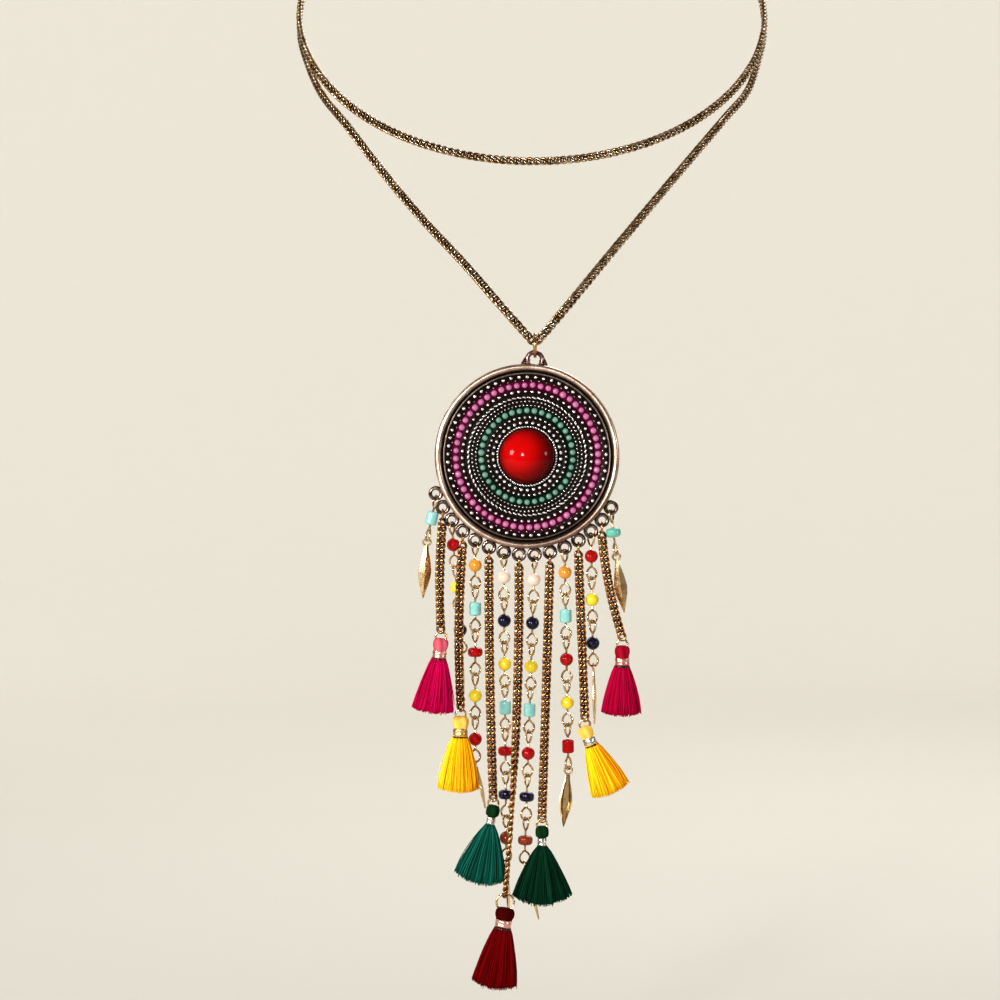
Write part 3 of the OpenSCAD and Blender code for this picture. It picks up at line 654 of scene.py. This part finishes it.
for i, row in enumerate(CHAINS):
    path = np.array([drop_point(row, t) for t in np.linspace(-0.01, 1.01, 40)])
    top_z, foot_z = path[0][2], path[-1][2]

    def facing(at, row=row, top_z=top_z, foot_z=foot_z):
        t = (top_z - at[:, 2]) / (top_z - foot_z)
        turn = np.radians(row.turn) * np.clip((t - 0.25) / 0.5, 0, 1)
        turn = turn + np.radians(12) * np.sin(t * 9 + row.eyelet)
        return np.stack([np.sin(turn), -np.cos(turn), np.zeros(len(t))], -1)

    curb_chain(f"fringe_chain_links_{i + 1}", path, facing, DROP_LINK, [f"fringe_chain_{i + 1}"], PENDANT)


# Medallion: one turned body with its bail, and the granules on it


def round_over(mid_r, mid_h, radius, start, end, steps=8):
    """Points of an arc in a turned profile, from one angle to another in degrees."""
    return [(mid_r + radius * math.cos(math.radians(a)), mid_h + radius * math.sin(math.radians(a)))
            for a in np.linspace(start, end, steps)]


# The disc is turned in DISC_SIDES steps; the first BACK_ROWS rows of its profile are the back
DISC_SIDES = 224
BACK_ROWS = 2 + 8
RIM_W = 1.7
rim_r = RIM_W / 2
rim_mid = DISC_R - rim_r
profile = [(0.01, 0.0), (21.0, 0.0)]
profile += round_over(rim_mid, rim_r, rim_r, -90, 0)
profile += [(DISC_R, 1.9), (DISC_R - 0.12, 2.1), (DISC_R, 2.3)]
profile += round_over(rim_mid, RIM_T - rim_r, rim_r, 0, 180, 14)
profile += [(DISC_R - RIM_W - 0.02, 2.6), (DISC_R - RIM_W - 0.12, 2.1), (DISC_R - RIM_W - 0.42, 2.1)]
profile += round_over(DISC_R - RIM_W - 0.68, 2.85, 0.24, 0, 180, 6)
profile += [(DISC_R - RIM_W - 0.98, 2.2)]
# Ridges under the granules: radius and half the width
RIDGES = ((20.65, 0.5), (16.8, 0.4), (15.2, 0.5), (14.3, 0.3), (13.3, 0.3), (10.15, 0.35), (8.6, 0.5))
for ridge_r, ridge_w in RIDGES:
    profile += [(ridge_r + ridge_w, FLOOR_T)]
    profile += round_over(ridge_r, FLOOR_T + 0.05, ridge_w * 0.7, 0, 180, 5)
    profile += [(ridge_r - ridge_w, FLOOR_T)]
# The collar round the stone, and the floor below it
profile += [(7.85, FLOOR_T), (7.8, 2.9)] + round_over(7.62, 2.95, 0.18, 0, 180, 5)
profile += [(7.25, 2.6), (7.1, FLOOR_T), (0.01, FLOOR_T)]
disc_points, disc_faces = lathe(profile, DISC_SIDES)
disc_shape = (turned_to_disc(disc_points), disc_faces)

BAIL_HOLE = 2.7
BAIL_RING_D, BAIL_WIRE = 6.8, 0.9
BAIL_RING_MID = (BAIL_RING_D - BAIL_WIRE) / 2
# How far the bail's middle lies from the disc's
BAIL_OUT = (np.linalg.norm((bail_at - disc_at)[[0, 2]]) - BAIL_RING_MID
            - (BAIL_HOLE / 2 - BAIL_WIRE / 2 - HANG_GAP))
# The loop: middle radius, radius of its round section, and what is left of that across the loop
BAIL_MID, BAIL_ROUND, BAIL_FLAT = 1.97, 0.98, 0.64


def bail_shape():
    """A half-round cast loop on a broad foot, with short ribs where the loop meets the rim."""
    ring = [(math.cos(t) * BAIL_MID, BAIL_OUT + math.sin(t) * BAIL_MID, 0) for t in angles(48)]
    points, faces = tube(ring, BAIL_ROUND, 14, closed=True)
    across, up, deep = points[:, 0], points[:, 1], points[:, 2]
    away = np.hypot(across, up - BAIL_OUT)
    stretch = BAIL_MID + (away - BAIL_MID) * BAIL_FLAT
    across, up = across / away * stretch, BAIL_OUT + (up - BAIL_OUT) / away * stretch
    shapes = [(turned_to_disc(np.stack([across, up, RIM_T / 2 + deep], -1)), faces)]
    for side in (-1, 1):
        line = [(side * 1.95, BAIL_OUT + 0.9, RIM_T / 2), (side * 2.5, BAIL_OUT - 0.2, RIM_T / 2),
                (side * 2.75, DISC_R + 0.1, RIM_T / 2), (side * 2.85, DISC_R - 0.8, RIM_T / 2)]
        p, f = tube(smooth_path(line, 4), np.linspace(0.34, 0.88, 13), 10)
        shapes.append((turned_to_disc(p), f))
        for across in (1.35, 1.9, 2.45):
            line = [(side * across, DISC_R + 1.5 - across * 0.25, RIM_T / 2 + 0.72),
                    (side * (across + 0.12), DISC_R - 0.3, RIM_T / 2 + 0.86)]
            p, f = tube(line, 0.19, 8)
            shapes.append((turned_to_disc(p), f))
    return shapes


def eyelet_shape(k):
    """A cast ring, a little fuller at its foot on the rim."""
    centre = eyelet(k)
    out = unit(centre - disc_at)
    t = angles(26)
    across = np.cross(out, FRONT)
    path = centre + EYELET_MID * (np.cos(t)[:, None] * out + np.sin(t)[:, None] * across)
    full = EYELET_WIRE / 2 * (1.03 + 0.1 * np.clip(-np.cos(t), 0, 1))
    return tube(path, full, 9, closed=True)


eyelets = [eyelet_shape(k) for k in range(EYELET_COUNT)]
disc_metal = dish("disc_antique", disc_at)
front_side = np.arange(len(disc_points)) // DISC_SIDES >= BACK_ROWS
add_mesh("medallion_disc", *disc_shape, disc_metal, PENDANT, "antique_metal", ["medallion"], tone=front_side)
add_mesh("medallion_bail", *joined(bail_shape()), bail_metal, PENDANT, "antique_metal")
add_mesh("medallion_eyelets", *joined(eyelets), cast_metal, PENDANT, "antique_metal")


def ring_places(radius, count, height, size, offset=0.0, slant=0.0):
    """Places round the disc; size is (along the ring, across it, up)."""
    rng = np.random.default_rng(int(radius * 100) + SEED)
    places = []
    for k in range(count):
        a = (k + offset) / count * 2 * math.pi
        out = DISC_X * math.cos(a) + DISC_UP * math.sin(a)
        along = -DISC_X * math.sin(a) + DISC_UP * math.cos(a)
        swing = slant + rng.normal(0, 0.04)
        u = along * math.cos(swing) + out * math.sin(swing)
        v = out * math.cos(swing) - along * math.sin(swing)
        grow = 1 + rng.normal(0, 0.05)
        axes = np.stack([u * size[0] / 2 * grow, v * size[1] / 2 * grow, FRONT * size[2] / 2], -1)
        wobble = radius + rng.normal(0, 0.03)
        places.append((in_disc(height) + out * wobble, axes))
    return places


# Granule rings: radius, count, height above the floor, size along, across and up, offset, slant
GRANULES = [
    (7.64, 66, 0.78, (0.74, 0.46, 0.5), 0.0, 0.5),
    (8.75, 34, 0.22, (0.98, 0.98, 0.9), 0.0, 0.0),
    (10.15, 46, 0.16, (0.7, 0.66, 0.7), 0.5, 0.0),
    (13.25, 84, 0.14, (0.5, 0.48, 0.56), 0.0, 0.0),
    (14.3, 84, 0.14, (0.56, 0.52, 0.6), 0.5, 0.0),
    (15.3, 74, 0.26, (1.34, 0.5, 0.66), 0.0, 0.34),
    (16.85, 60, 0.2, (0.9, 0.82, 0.8), 0.0, 0.0),
    (19.72, 61, 0.12, (0.4, 0.4, 0.5), 0.5, 0.0),
    (20.62, 61, 0.24, (1.06, 1.02, 0.95), 0.0, 0.0),
]
granule = ball(6, 10)
granule_places = []
for radius, count, height, size, offset, slant in GRANULES:
    granule_places += ring_places(radius, count, FLOOR_T + height, size, offset, slant)
add_mesh("silver_granules", *many(granule, granule_places), silver_metal, PENDANT, "antique_metal")


BAND_SIDES = 180


def coloured_ring(name, node, radius, count, materials, slot_name, size):
    """Glossy beads side by side, set on a narrow band of a darker enamel."""
    places = ring_places(radius, count, FLOOR_T + 0.4, size)
    add_mesh(name, *many(ball(9, 16), places), materials[0], PENDANT, slot_name, [node])
    band = [(radius + r, FLOOR_T + h) for r, h in
            ((0.84, -0.2), (0.8, 0.16), (0.6, 0.3), (-0.6, 0.3), (-0.8, 0.16), (-0.84, -0.2))]
    p, _ = lathe(band, BAND_SIDES)
    faces = grid_faces(len(band), BAND_SIDES, closed_rows=True)
    add_mesh(name + "_band", turned_to_disc(p), faces, materials[1], PENDANT, slot_name)


coloured_ring("pink_beads", "pink_beading", 18.5, 56, (pink_enamel, pink_band), "pink_enamel", (1.7, 1.6, 1.5))
coloured_ring("green_beads", "green_beading", 11.9, 38, (green_enamel, green_band), "green_enamel",
              (1.56, 1.5, 1.4))

# The cabochon, a smooth low dome
STONE_R = 7.1
STONE_H = 4.4
STONE_WALL = 1.0
dome_h = STONE_H - STONE_WALL
dome_r = (STONE_R ** 2 + dome_h ** 2) / (2 * dome_h)
stone = [(0.01, 0.1), (STONE_R - 0.1, 0.1), (STONE_R, 0.2), (STONE_R, 0.9)]
half = math.degrees(math.asin(STONE_R / dome_r))
stone += [(dome_r * math.sin(math.radians(a)), STONE_H - dome_r + dome_r * math.cos(math.radians(a)) + 0.1)
          for a in np.linspace(half, 0.4, 26)]
stone = [(r, h + FLOOR_T) for r, h in stone]
stone_points, stone_faces = lathe(stone, 128)
# Painted light and shade on the stone: lightest left of its middle, darker from there and close to its edge
stone_away = np.hypot(stone_points[:, 0] / STONE_R + 0.3, stone_points[:, 1] / STONE_R - 0.15)
stone_painted_light = np.interp(stone_away, (0.4, 0.6, 0.82, 0.95, 1.2, 1.32), (1, 0.78, 0.42, 0.27, 0.08, 0.03))
stone_painted_light *= np.interp(np.hypot(stone_points[:, 0], stone_points[:, 1]) / STONE_R, (0.84, 0.97), (1, 0.42))
add_mesh("cabochon_dome", turned_to_disc(stone_points), stone_faces, stone_red, PENDANT, "red_stone",
         ["cabochon"], tone=stone_painted_light)


# Rings and looped pins


# Half the gap between the two ends of a bent ring, in radians
HALF_GAP = 0.5 / 60


def wire_ring(centre, u, v, mid_r, wire, gap_at, count=30, sides=8):
    """A bent ring of wire with its gap at an angle from u towards v."""
    t = gap_at + np.linspace(HALF_GAP, 2 * math.pi - HALF_GAP, count)
    path = centre + mid_r * (np.cos(t)[:, None] * np.asarray(u) + np.sin(t)[:, None] * np.asarray(v))
    return tube(path, wire / 2, sides)


X = np.array([1.0, 0, 0])
Y = np.array([0, 1.0, 0])
Z = np.array([0, 0, 1.0])
bail_wire = wire_ring(bail_at, Y, Z, BAIL_RING_MID, BAIL_WIRE, 2.4, 48, 12)
add_mesh("bail_ring_wire", *bail_wire, chain_metal, BAIL, "antique_metal", ["bail_ring"])

hooks = [eyelet(row.eyelet) - Z * EYELET_MID for row in CHAINS]
hook_rings = [wire_ring(h + Z * (ring_top - ring_mid), Y, Z, ring_mid, RING_WIRE, 1.0) for h in hooks]
add_mesh("eyelet_ring_wires", *joined(hook_rings), chain_metal, PENDANT, "antique_metal", ["eyelet_rings"])

# Tassels: wide, long, head and band are shares of the full sizes, and short is the share of the length that
# the outer threads are shorter by
Tassel = namedtuple("Tassel", "thread lean wide long large_ring head band foil head_thread short")
TASSELS = [Tassel(*row) for row in (
    ("magenta", 7, 0.88, 0.98, False, 1, 0.96, foil_pink, "rose", 0.07),
    ("yellow", 2, 0.86, 1, False, 1.04, 1, foil_gold, "straw", 0.07),
    ("teal", 11, 1.1, 1.07, False, 0.86, 0.62, foil_silver, "moss", 0.15),
    ("crimson", 9, 0.94, 1.09, True, 1.2, 1.1, foil_pink, "garnet", 0.1),
    ("green", 0, 1.24, 1.05, False, 0.86, 0.62, foil_silver, "moss", 0.18),
    ("yellow", -23, 0.83, 0.94, False, 0.98, 0.9, foil_silver, "straw", 0.07),
    ("berry", 1, 0.84, 0.9, False, 1, 1, foil_pink, "cherry", 0.09),
)]

# Threads with a shade of their own, listed with the material slot name of another
SLOTS = {"teal": "thread_green", "berry": "thread_magenta"}


def tassel_ring(i):
    dia = BIG_RING_D if TASSELS[i].large_ring else RING_D
    return drop_point(CHAINS[i], 1) - Z * (HANG_GAP + dia / 2), (dia - RING_WIRE) / 2


rings = []
for i in range(len(TASSELS)):
    centre, mid_r = tassel_ring(i)
    rings.append(wire_ring(centre, X, Z, mid_r, RING_WIRE, 0.7 + i))
add_mesh("tassel_ring_wires", *joined(rings), pin_metal, PENDANT, "pin_metal", ["tassel_rings"])

# Bead strands: leans and turns are in degrees, and spike_long is a share of SPIKE_L
Strand = namedtuple("Strand", "eyelet lean back spike_lean spike_long spike_turn beads pin_turn")
STRANDS = [Strand(*row) for row in (
    (0, 12, 0, 4, 1, 0, 1, 20),
    (2, -4.5, 8, 0, 1, 90, 3, -25),
    (4, 0, 0, -12, 0.8, 90, 5, 30),
    (6, -0.5, 0, -2, 1, 90, 7, -30),
    (8, 1.9, 0, -14, 1, 90, 7, 25),
    (10, -1, 0, 5, 1, 0, 5, -30),
    (12, -1, 0, -1, 1, 90, 3, 30),
    (14, -7, 0, -8, 1, 0, 1, -20),
)]
PIN_WIRE = 0.6
PIN_LOOP_D = 3.5
PIN_MID = (PIN_LOOP_D - PIN_WIRE) / 2
BEAD_PITCH = 11.3
PIN_REACH = (BEAD_PITCH - (2 * PIN_MID - PIN_WIRE - HANG_GAP)) / 2
FIRST_BEAD = EYELET_WIRE / 2 + PIN_WIRE / 2 + HANG_GAP - PIN_MID - PIN_REACH


def turned(degrees, axis):
    return np.array(Matrix.Rotation(math.radians(degrees), 3, axis))


def two_turns(about_y, about_x):
    """A turn about X and then one about Y, in degrees."""
    first = Matrix.Rotation(math.radians(about_x), 3, "X")
    return np.array(Matrix.Rotation(math.radians(about_y), 3, "Y") @ first)


def strand_place(row):
    """Where a strand hangs, and its axes."""
    return eyelet(row.eyelet) - Z * EYELET_MID, two_turns(row.lean, row.back)


def pin_shape(seed, last_edge):
    """A wire through a bead with a drop-shaped loop at each end, in the strand's own axes."""
    rng = np.random.default_rng(seed)
    shapes = []
    for end in (1, -1):
        flat = X if end == -1 and not last_edge else Y
        hand = 1 if rng.random() < 0.5 else -1
        sweep = np.radians(np.linspace(-78, 262 + rng.uniform(-3, 3), 30))
        pinch = 0.34 * np.clip(-np.sin(sweep), 0, 1) ** 5
        loop = (PIN_MID * np.cos(sweep)[:, None] * flat * hand
                + ((PIN_MID * np.sin(sweep) - pinch) * end)[:, None] * Z + Z * PIN_REACH * end)
        stem = [Z * end * 0.2, Z * end * (PIN_REACH - PIN_MID - 0.7)]
        shapes.append(tube(smooth_path(np.concatenate([stem, loop]), 2), PIN_WIRE / 2, 8))
    return joined(shapes)


pins = []
for i, row in enumerate(STRANDS):
    hook, axes = strand_place(row)
    for j in range(row.beads):
        points, faces = pin_shape(i * 10 + j, j == row.beads - 1 and row.spike_turn == 0)
        points = points @ turned(row.pin_turn, "Z").T + Z * (FIRST_BEAD - j * BEAD_PITCH)
        pins.append((hook + points @ axes.T, faces))
add_mesh("bead_pin_wires", *joined(pins), pin_metal, PENDANT, "pin_metal", ["bead_pins"])

# Leaf spikes
SPIKE_L, SPIKE_W, SPIKE_T, SPIKE_EYE = 14.0, 3.5, 1.4, 2.5
SPIKE_EYE_WALL = 0.55
SPIKE_HOLE = SPIKE_EYE / 2 - SPIKE_EYE_WALL
# The strand whose spike hangs with its hollow face to the front
HOLLOW_FRONT = 5


def spike_shape(length, hollow_front):
    """A leaf with a sharp ridge down one face and a hollow down the other, darkened with painted shade, and an
    eye on top.
    """
    steps = 22
    share = [(0, 0.3), (0.1, 0.36), (0.3, 0.74), (0.5, 1.0), (0.66, 0.84), (0.85, 0.42), (1, 0.06)]
    at, wide = zip(*share)
    top = -SPIKE_EYE / 2 + 0.5
    section = [(1, 0), (0.94, 0.2), (0, 1), (-0.94, 0.2), (-1, 0), (-0.97, -0.5), (-0.8, -0.55), (-0.4, 0.35),
               (0.4, 0.35), (0.8, -0.55), (0.97, -0.5)]
    side = -1 if hollow_front else 1
    points = []
    for s in np.linspace(0, 1, steps):
        w = SPIKE_W / 2 * np.interp(s, at, wide)
        t = SPIKE_T / 2 * (0.3 + 0.7 * np.interp(s, at, wide))
        points += [(a * w * side, -b * t * side, top - s * length) for a, b in section]
    faces = grid_faces(steps, len(section)) + end_faces(steps, len(section))
    t = angles(22)
    eye = np.stack([np.cos(t), np.zeros(len(t)), np.sin(t)], -1) * (SPIKE_EYE / 2 + SPIKE_HOLE) / 2
    eye_p, eye_f = tube(eye, (SPIKE_EYE / 2 - SPIKE_HOLE) / 2 * 1.05, 10, closed=True)
    # Tone 0 on the hollow's floor and 1 elsewhere, for painted shade in the hollow
    tone = np.tile([1.0] * 7 + [0.0] * 2 + [1.0] * 2, steps)
    return joined([(np.array(points), faces), (eye_p, eye_f)]), np.concatenate([tone, np.ones(len(eye_p))])


spikes, spike_tones = [], []
for i, row in enumerate(STRANDS):
    hook, axes = strand_place(row)
    (points, faces), tone = spike_shape(SPIKE_L * row.spike_long, i == HOLLOW_FRONT)
    spike_tones.append(tone)
    points = points @ turned(row.spike_turn, "Z").T + Z * (PIN_WIRE / 2 + HANG_GAP - SPIKE_HOLE)
    local = two_turns(row.spike_lean - row.lean, -row.back)
    points = points @ local.T + Z * (FIRST_BEAD - (row.beads - 1) * BEAD_PITCH - PIN_REACH - PIN_MID)
    spikes.append((hook + points @ axes.T, faces))
add_mesh("leaf_spikes", *joined(spikes), leaf_metal, PENDANT, "pin_metal", ["spikes"], smooth=False,
         tone=np.concatenate(spike_tones))

# Tassels, each in its own axes with the origin at the top of its head
HEAD_W, HEAD_H, HEAD_UP, BAND_H = 3.9, 3.1, 1.1, 2.1
SKIRT_L, SKIRT_W, SKIRT_D = 14.6, 13.0, 7.0
SEAT_GAP = 0.1
SKIRT_Z = -HEAD_H - BAND_H - 2 * SEAT_GAP
# How a skirt widens: share of the length, share of the growth
FLARE = ((0, 0.07, 0.25, 0.5, 0.75, 1), (0, 0.12, 0.32, 0.57, 0.8, 1))
LOCKS = 11


def tassel_place(i):
    centre, mid_r = tassel_ring(i)
    turn = turned(TASSELS[i].lean, "Y")
    return centre - Z * mid_r + turn @ (Z * HEAD_UP), turn


def tassel_sizes(i):
    """Half width, half depth and length of the skirt, and the radii of the head and the band."""
    row = TASSELS[i]
    return SKIRT_W * row.wide / 2, SKIRT_D / 2, SKIRT_L * row.long, HEAD_W * row.head / 2, HEAD_W * row.band / 2


THREAD_COUNT = 430
# Threads that stand off from their skirt
STRAYS = 9


def skirt_threads(i, count):
    """Fine threads of nearly even length that fan out from under the band."""
    rng = np.random.default_rng(SEED + i)
    half_w, half_d, length, _, band_r = tassel_sizes(i)
    t = np.linspace(0, 1, 8)
    flare = np.interp(t, *FLARE)
    taper = np.array([0.75, 1, 1, 1, 1, 1, 0.95, 0.55])
    shapes, tones = [], []
    for k in range(count):
        ang = rng.uniform(0, 2 * math.pi)
        lock = ang * LOCKS + i
        ang += 0.16 * math.sin(lock) / LOCKS * 3
        rho = math.sqrt(rng.uniform(0.45, 1.0))
        spread = np.array([math.cos(ang), math.sin(ang)])
        foot = spread * [half_w - 0.2, half_d - 0.2] * rho
        head = spread * (band_r - 0.15) * rho
        sway = rng.normal(0, 0.13, 2)
        across = head + (foot - head) * flare[:, None] + sway * np.sin(t * math.pi)[:, None]
        drop = length * (1 - TASSELS[i].short * (foot[0] / half_w) ** 2) * (1 - abs(rng.normal(0, 0.026)))
        if rng.random() < 0.07:
            drop *= rng.uniform(0.84, 0.96)
        if k < STRAYS:
            across += spread * rng.uniform(0.3, 0.9) * np.sin(t * 2.4)[:, None]
            drop *= 1.02
        path = np.concatenate([across, (SKIRT_Z + 0.3 - t * (drop + 0.3))[:, None]], 1)
        p, f = tube(path, rng.uniform(0.12, 0.17) * taper, 5)
        shapes.append((p, f))
        # Each thread's tone: random, with painted light and shade across the locks, and on the yellow skirts
        # painted shade towards the right side
        tone = 0.5 + 0.2 * rng.normal() + 0.16 * math.sin(lock)
        if TASSELS[i].thread == "yellow":
            tone -= 0.55 * foot[0] / half_w - 0.1
        tones.append(np.full(len(p), np.clip(tone, 0, 1)))
    return shapes, tones


def skirt_core(i):
    """The close packed threads inside a skirt, as one grooved body."""
    half_w, half_d, length, _, band_r = tassel_sizes(i)
    n, rows = 96, np.linspace(0, 1, 14)
    points, tones = [], []
    for s in rows:
        flare = np.interp(s, *FLARE)
        rx = (band_r - 0.25) + (half_w * 0.9 - band_r) * flare
        ry = (band_r - 0.25) + (half_d * 0.9 - band_r) * flare
        for k, a in enumerate(angles(n)):
            groove = 1 - 0.035 * (k % 3 == 0) + 0.03 * math.sin(a * LOCKS + i) * s
            z = SKIRT_Z - length * s * 0.965 * (1 - TASSELS[i].short * math.cos(a) ** 2)
            points.append((rx * math.cos(a) * groove, ry * math.sin(a) * groove, z))
            # The core's tones lie lower than the loose threads', so it is darker, and on the yellow skirts
            # painted shade falls towards the right side
            tone = 0.3 + 0.25 * math.sin(a * 29 + i) * math.sin(a * 13)
            tones.append(tone - (0.5 * math.cos(a) if TASSELS[i].thread == "yellow" else 0))
    faces = grid_faces(len(rows), n) + end_faces(len(rows), n)
    return np.array(points), faces, np.clip(tones, 0, 1)


def head_bundle(i):
    """Threads folded over the ring and tied at the band: a fluted block with a soft top."""
    _, _, _, head_r, band_r = tassel_sizes(i)
    n = 90
    profile = [(0.12, 0.0), (0.35, -0.02), (0.6, -0.12), (0.8, -0.34), (0.93, -0.72), (0.99, -1.2), (1.0, -1.8),
               (0.97, -2.4), (0.88, -2.85)]
    profile = [(r * head_r, z) for r, z in profile] + [(band_r - 0.18, -3.12), (band_r - 0.3, SKIRT_Z - 0.4)]
    points, tones = [], []
    for r, z in profile:
        for k, a in enumerate(angles(n)):
            flute = 1 + (0.03 * (k % 3 - 1) + 0.045 * math.sin(a * 6 + i + z * 0.4)) * min(1.0, r)
            saddle = -0.25 * abs(math.sin(a)) * (r / head_r) * (z > -0.9)
            points.append((r * flute * math.cos(a), r * flute * math.sin(a), z + saddle))
            tones.append(0.55 + 0.24 * (k % 3 - 1) + 0.26 * math.sin(a * 5 + i * 2 + z * 0.5))
    faces = grid_faces(len(profile), n) + end_faces(len(profile), n)
    return np.array(points), faces, np.clip(tones, 0, 1)


def band_shape(i):
    """A crimped foil band with a few uneven wraps."""
    rng = np.random.default_rng(BAND_SEED + i)
    _, _, _, _, band_r = tassel_sizes(i)
    n, rows = 60, np.linspace(0, 1, 13)
    points = []
    for s in rows:
        edge = 1 - 0.12 * (2 * s - 1) ** 8
        for a in angles(n):
            wrap = 0.05 * math.sin(s * 12 + math.sin(a * 2 + i) * 1.4) + 0.035 * math.sin(a * 3 + s * 4 + i)
            r = (band_r - 0.06) * edge + wrap + rng.normal(0, 0.008)
            points.append((r * math.cos(a), r * math.sin(a), SKIRT_Z + SEAT_GAP + BAND_H * s))
    for s in rows[::-1]:
        for a in angles(n):
            r = band_r - 0.36
            points.append((r * math.cos(a), r * math.sin(a), SKIRT_Z + SEAT_GAP + 0.05 + (BAND_H - 0.1) * s))
    return np.array(points), grid_faces(2 * len(rows), n, closed_rows=True)


def binding(i):
    """Two turns of dark wire under the band."""
    _, _, _, _, band_r = tassel_sizes(i)
    ends = 4 * math.pi
    t = np.linspace(0, ends, 60)
    z = SKIRT_Z - 0.02 - t / ends * 0.3
    return tube(np.stack([np.cos(t) * (band_r - 0.08), np.sin(t) * (band_r - 0.08), z], -1), 0.2, 6)


bands = {}
bindings = []
for i, row in enumerate(TASSELS):
    origin, turn = tassel_place(i)
    slot_name = SLOTS.get(row.thread, "thread_" + row.thread)
    shapes, tones = skirt_threads(i, THREAD_COUNT)
    points, faces, tone = skirt_core(i)
    shapes.append((points, faces))
    tones.append(tone)
    points, faces = joined(shapes)
    add_mesh(f"tassel_threads_{i + 1}", origin + points @ turn.T, faces, threads[row.thread], PENDANT,
             slot_name, [f"tassel_{i + 1}"], tone=np.concatenate(tones))
    points, faces, tone = head_bundle(i)
    add_mesh(f"tassel_head_{i + 1}", origin + points @ turn.T, faces, threads[row.head_thread], PENDANT,
             slot_name, tone=tone)
    p, f = band_shape(i)
    bands.setdefault(row.foil.name, []).append((origin + p @ turn.T, f))
    if row.foil is not foil_silver or row.thread == "yellow":
        p, f = binding(i)
        bindings.append((origin + p @ turn.T, f))
for name, shapes in bands.items():
    add_mesh("band_" + name, *joined(shapes), bpy.data.materials[name], PENDANT, "crimp_metal", ["crimp_bands"])
add_mesh("binding_wires", *joined(bindings), binding_metal, PENDANT, "crimp_metal")

# The glass beads and the clasp are the source's own solids and only get a material
for part in frame["record"]["subparts"]:
    node = part["node"]
    if node == "clasp" or node.startswith("bead_") and node != "bead_pins":
        solid = bpy.data.objects.get(node)
        solid.data.materials.clear()
        solid.data.materials.append(chain_metal if node == "clasp" else glazes[part["material_slot"]])


# Stage, lights and camera


def paper(name, low, high):
    """Plain paper, toned along the sweep so that it looks even in the light."""
    n = Nodes(name)
    at = n.place(0.02)
    tone = n.mix(n.attribute("tone"), low, high)
    n.colour(n.mix(n.grey(n.noise(at, 3.0, 3), 0.0, 0.03), tone, (0.55, 0.52, 0.47)))
    return n.set(Roughness=0.9)


# Tone of the paper against its distance on the floor and its height on the wall, in metres
FLOOR_TONES = ((0.26, 0.45, 0.74, 1.03, 1.22, 1.42, 1.61, 1.8), (0.38, 0.24, 0.12, 0.2, 0.37, 0.56, 0.75, 0.93))
WALL_TONES = ((-0.30, -0.2, 0.0, 0.37), (0.94, 0.81, 0.73, 0.67))


def stage_sweep():
    """A pale floor that curves up into a wall far behind."""
    z0, far, wide, bend = -0.30, 2.6, 4.0, 0.8
    line = [(y, z0) for y in np.linspace(-0.7, far - bend, 18)]
    line += [(far - bend + bend * math.sin(a), z0 + bend - bend * math.cos(a))
             for a in np.linspace(0, math.pi / 2, 20)[1:]]
    line += [(far, 3.0)]
    points = [(x, y, z) for y, z in line for x in (-wide, wide)]
    mesh = bpy.data.meshes.new("studio_floor")
    faces = [[2 * k, 2 * k + 1, 2 * k + 3, 2 * k + 2] for k in range(len(line) - 1)]
    mesh.from_pydata(points, [], faces)
    mesh.polygons.foreach_set("use_smooth", [True] * len(mesh.polygons))
    tone = mesh.attributes.new("tone", "FLOAT", "POINT")
    shade = [np.interp(y, *FLOOR_TONES) if z <= z0 else np.interp(z, *WALL_TONES) for y, z in line]
    tone.data.foreach_set("value", np.repeat(shade, 2).astype(np.float32))
    mesh.materials.append(paper("floor_pale", (0.58, 0.557, 0.50), (0.80, 0.77, 0.70)))
    obj = bpy.data.objects.new("studio_floor", mesh)
    bpy.context.scene.collection.objects.link(obj)


def soft_light(name, at, aim, size, power, colour):
    light = bpy.data.lights.new(name, "AREA")
    light.shape = "DISK"
    light.size = size
    light.energy = power
    light.color = colour
    obj = bpy.data.objects.new(name, light)
    obj.location = at
    obj.rotation_euler = (Vector(aim) - Vector(at)).to_track_quat("-Z", "Y").to_euler()
    bpy.context.scene.collection.objects.link(obj)


stage_sweep()
AIM = (0, -0.08, -0.12)
soft_light("key", (-0.34, -1.36, 0.0), AIM, 0.16, 13, (1.0, 0.98, 0.95))
soft_light("side", (-1.0, -0.85, 0.12), AIM, 0.34, 11, (1.0, 0.97, 0.92))
soft_light("fill", (1.15, -0.6, 0.05), AIM, 0.2, 2.5, (0.97, 0.98, 1.0))
soft_light("rim", (0.35, 0.8, 0.75), AIM, 0.5, 7, (1.0, 0.98, 0.95))
soft_light("wall_left", (-1.3, 0.9, 1.2), (-0.2, 2.6, 0.1), 1.2, 22, (1.0, 0.98, 0.94))
soft_light("wall_right", (1.3, 0.9, 1.2), (0.2, 2.6, 0.1), 1.2, 22, (1.0, 0.98, 0.94))

world = bpy.data.worlds.new("studio")
world.use_nodes = True
back = world.node_tree.nodes["Background"]
back.inputs["Color"].default_value = (0.93, 0.91, 0.88, 1)
back.inputs["Strength"].default_value = 0.24
bpy.context.scene.world = world
bpy.context.scene.view_settings.view_transform = "Standard"

lens = bpy.data.cameras.new("camera")
lens.sensor_width = SENSOR
lens.lens = SENSOR * FIELD_AWAY / FIELD_W
lens.clip_start = 0.01
lens.clip_end = 20
camera = bpy.data.objects.new("camera", lens)
camera.location = [c * MM for c in CAMERA_AT]
camera.rotation_euler = (math.radians(90), 0, 0)
bpy.context.scene.collection.objects.link(camera)
bpy.context.scene.camera = camera
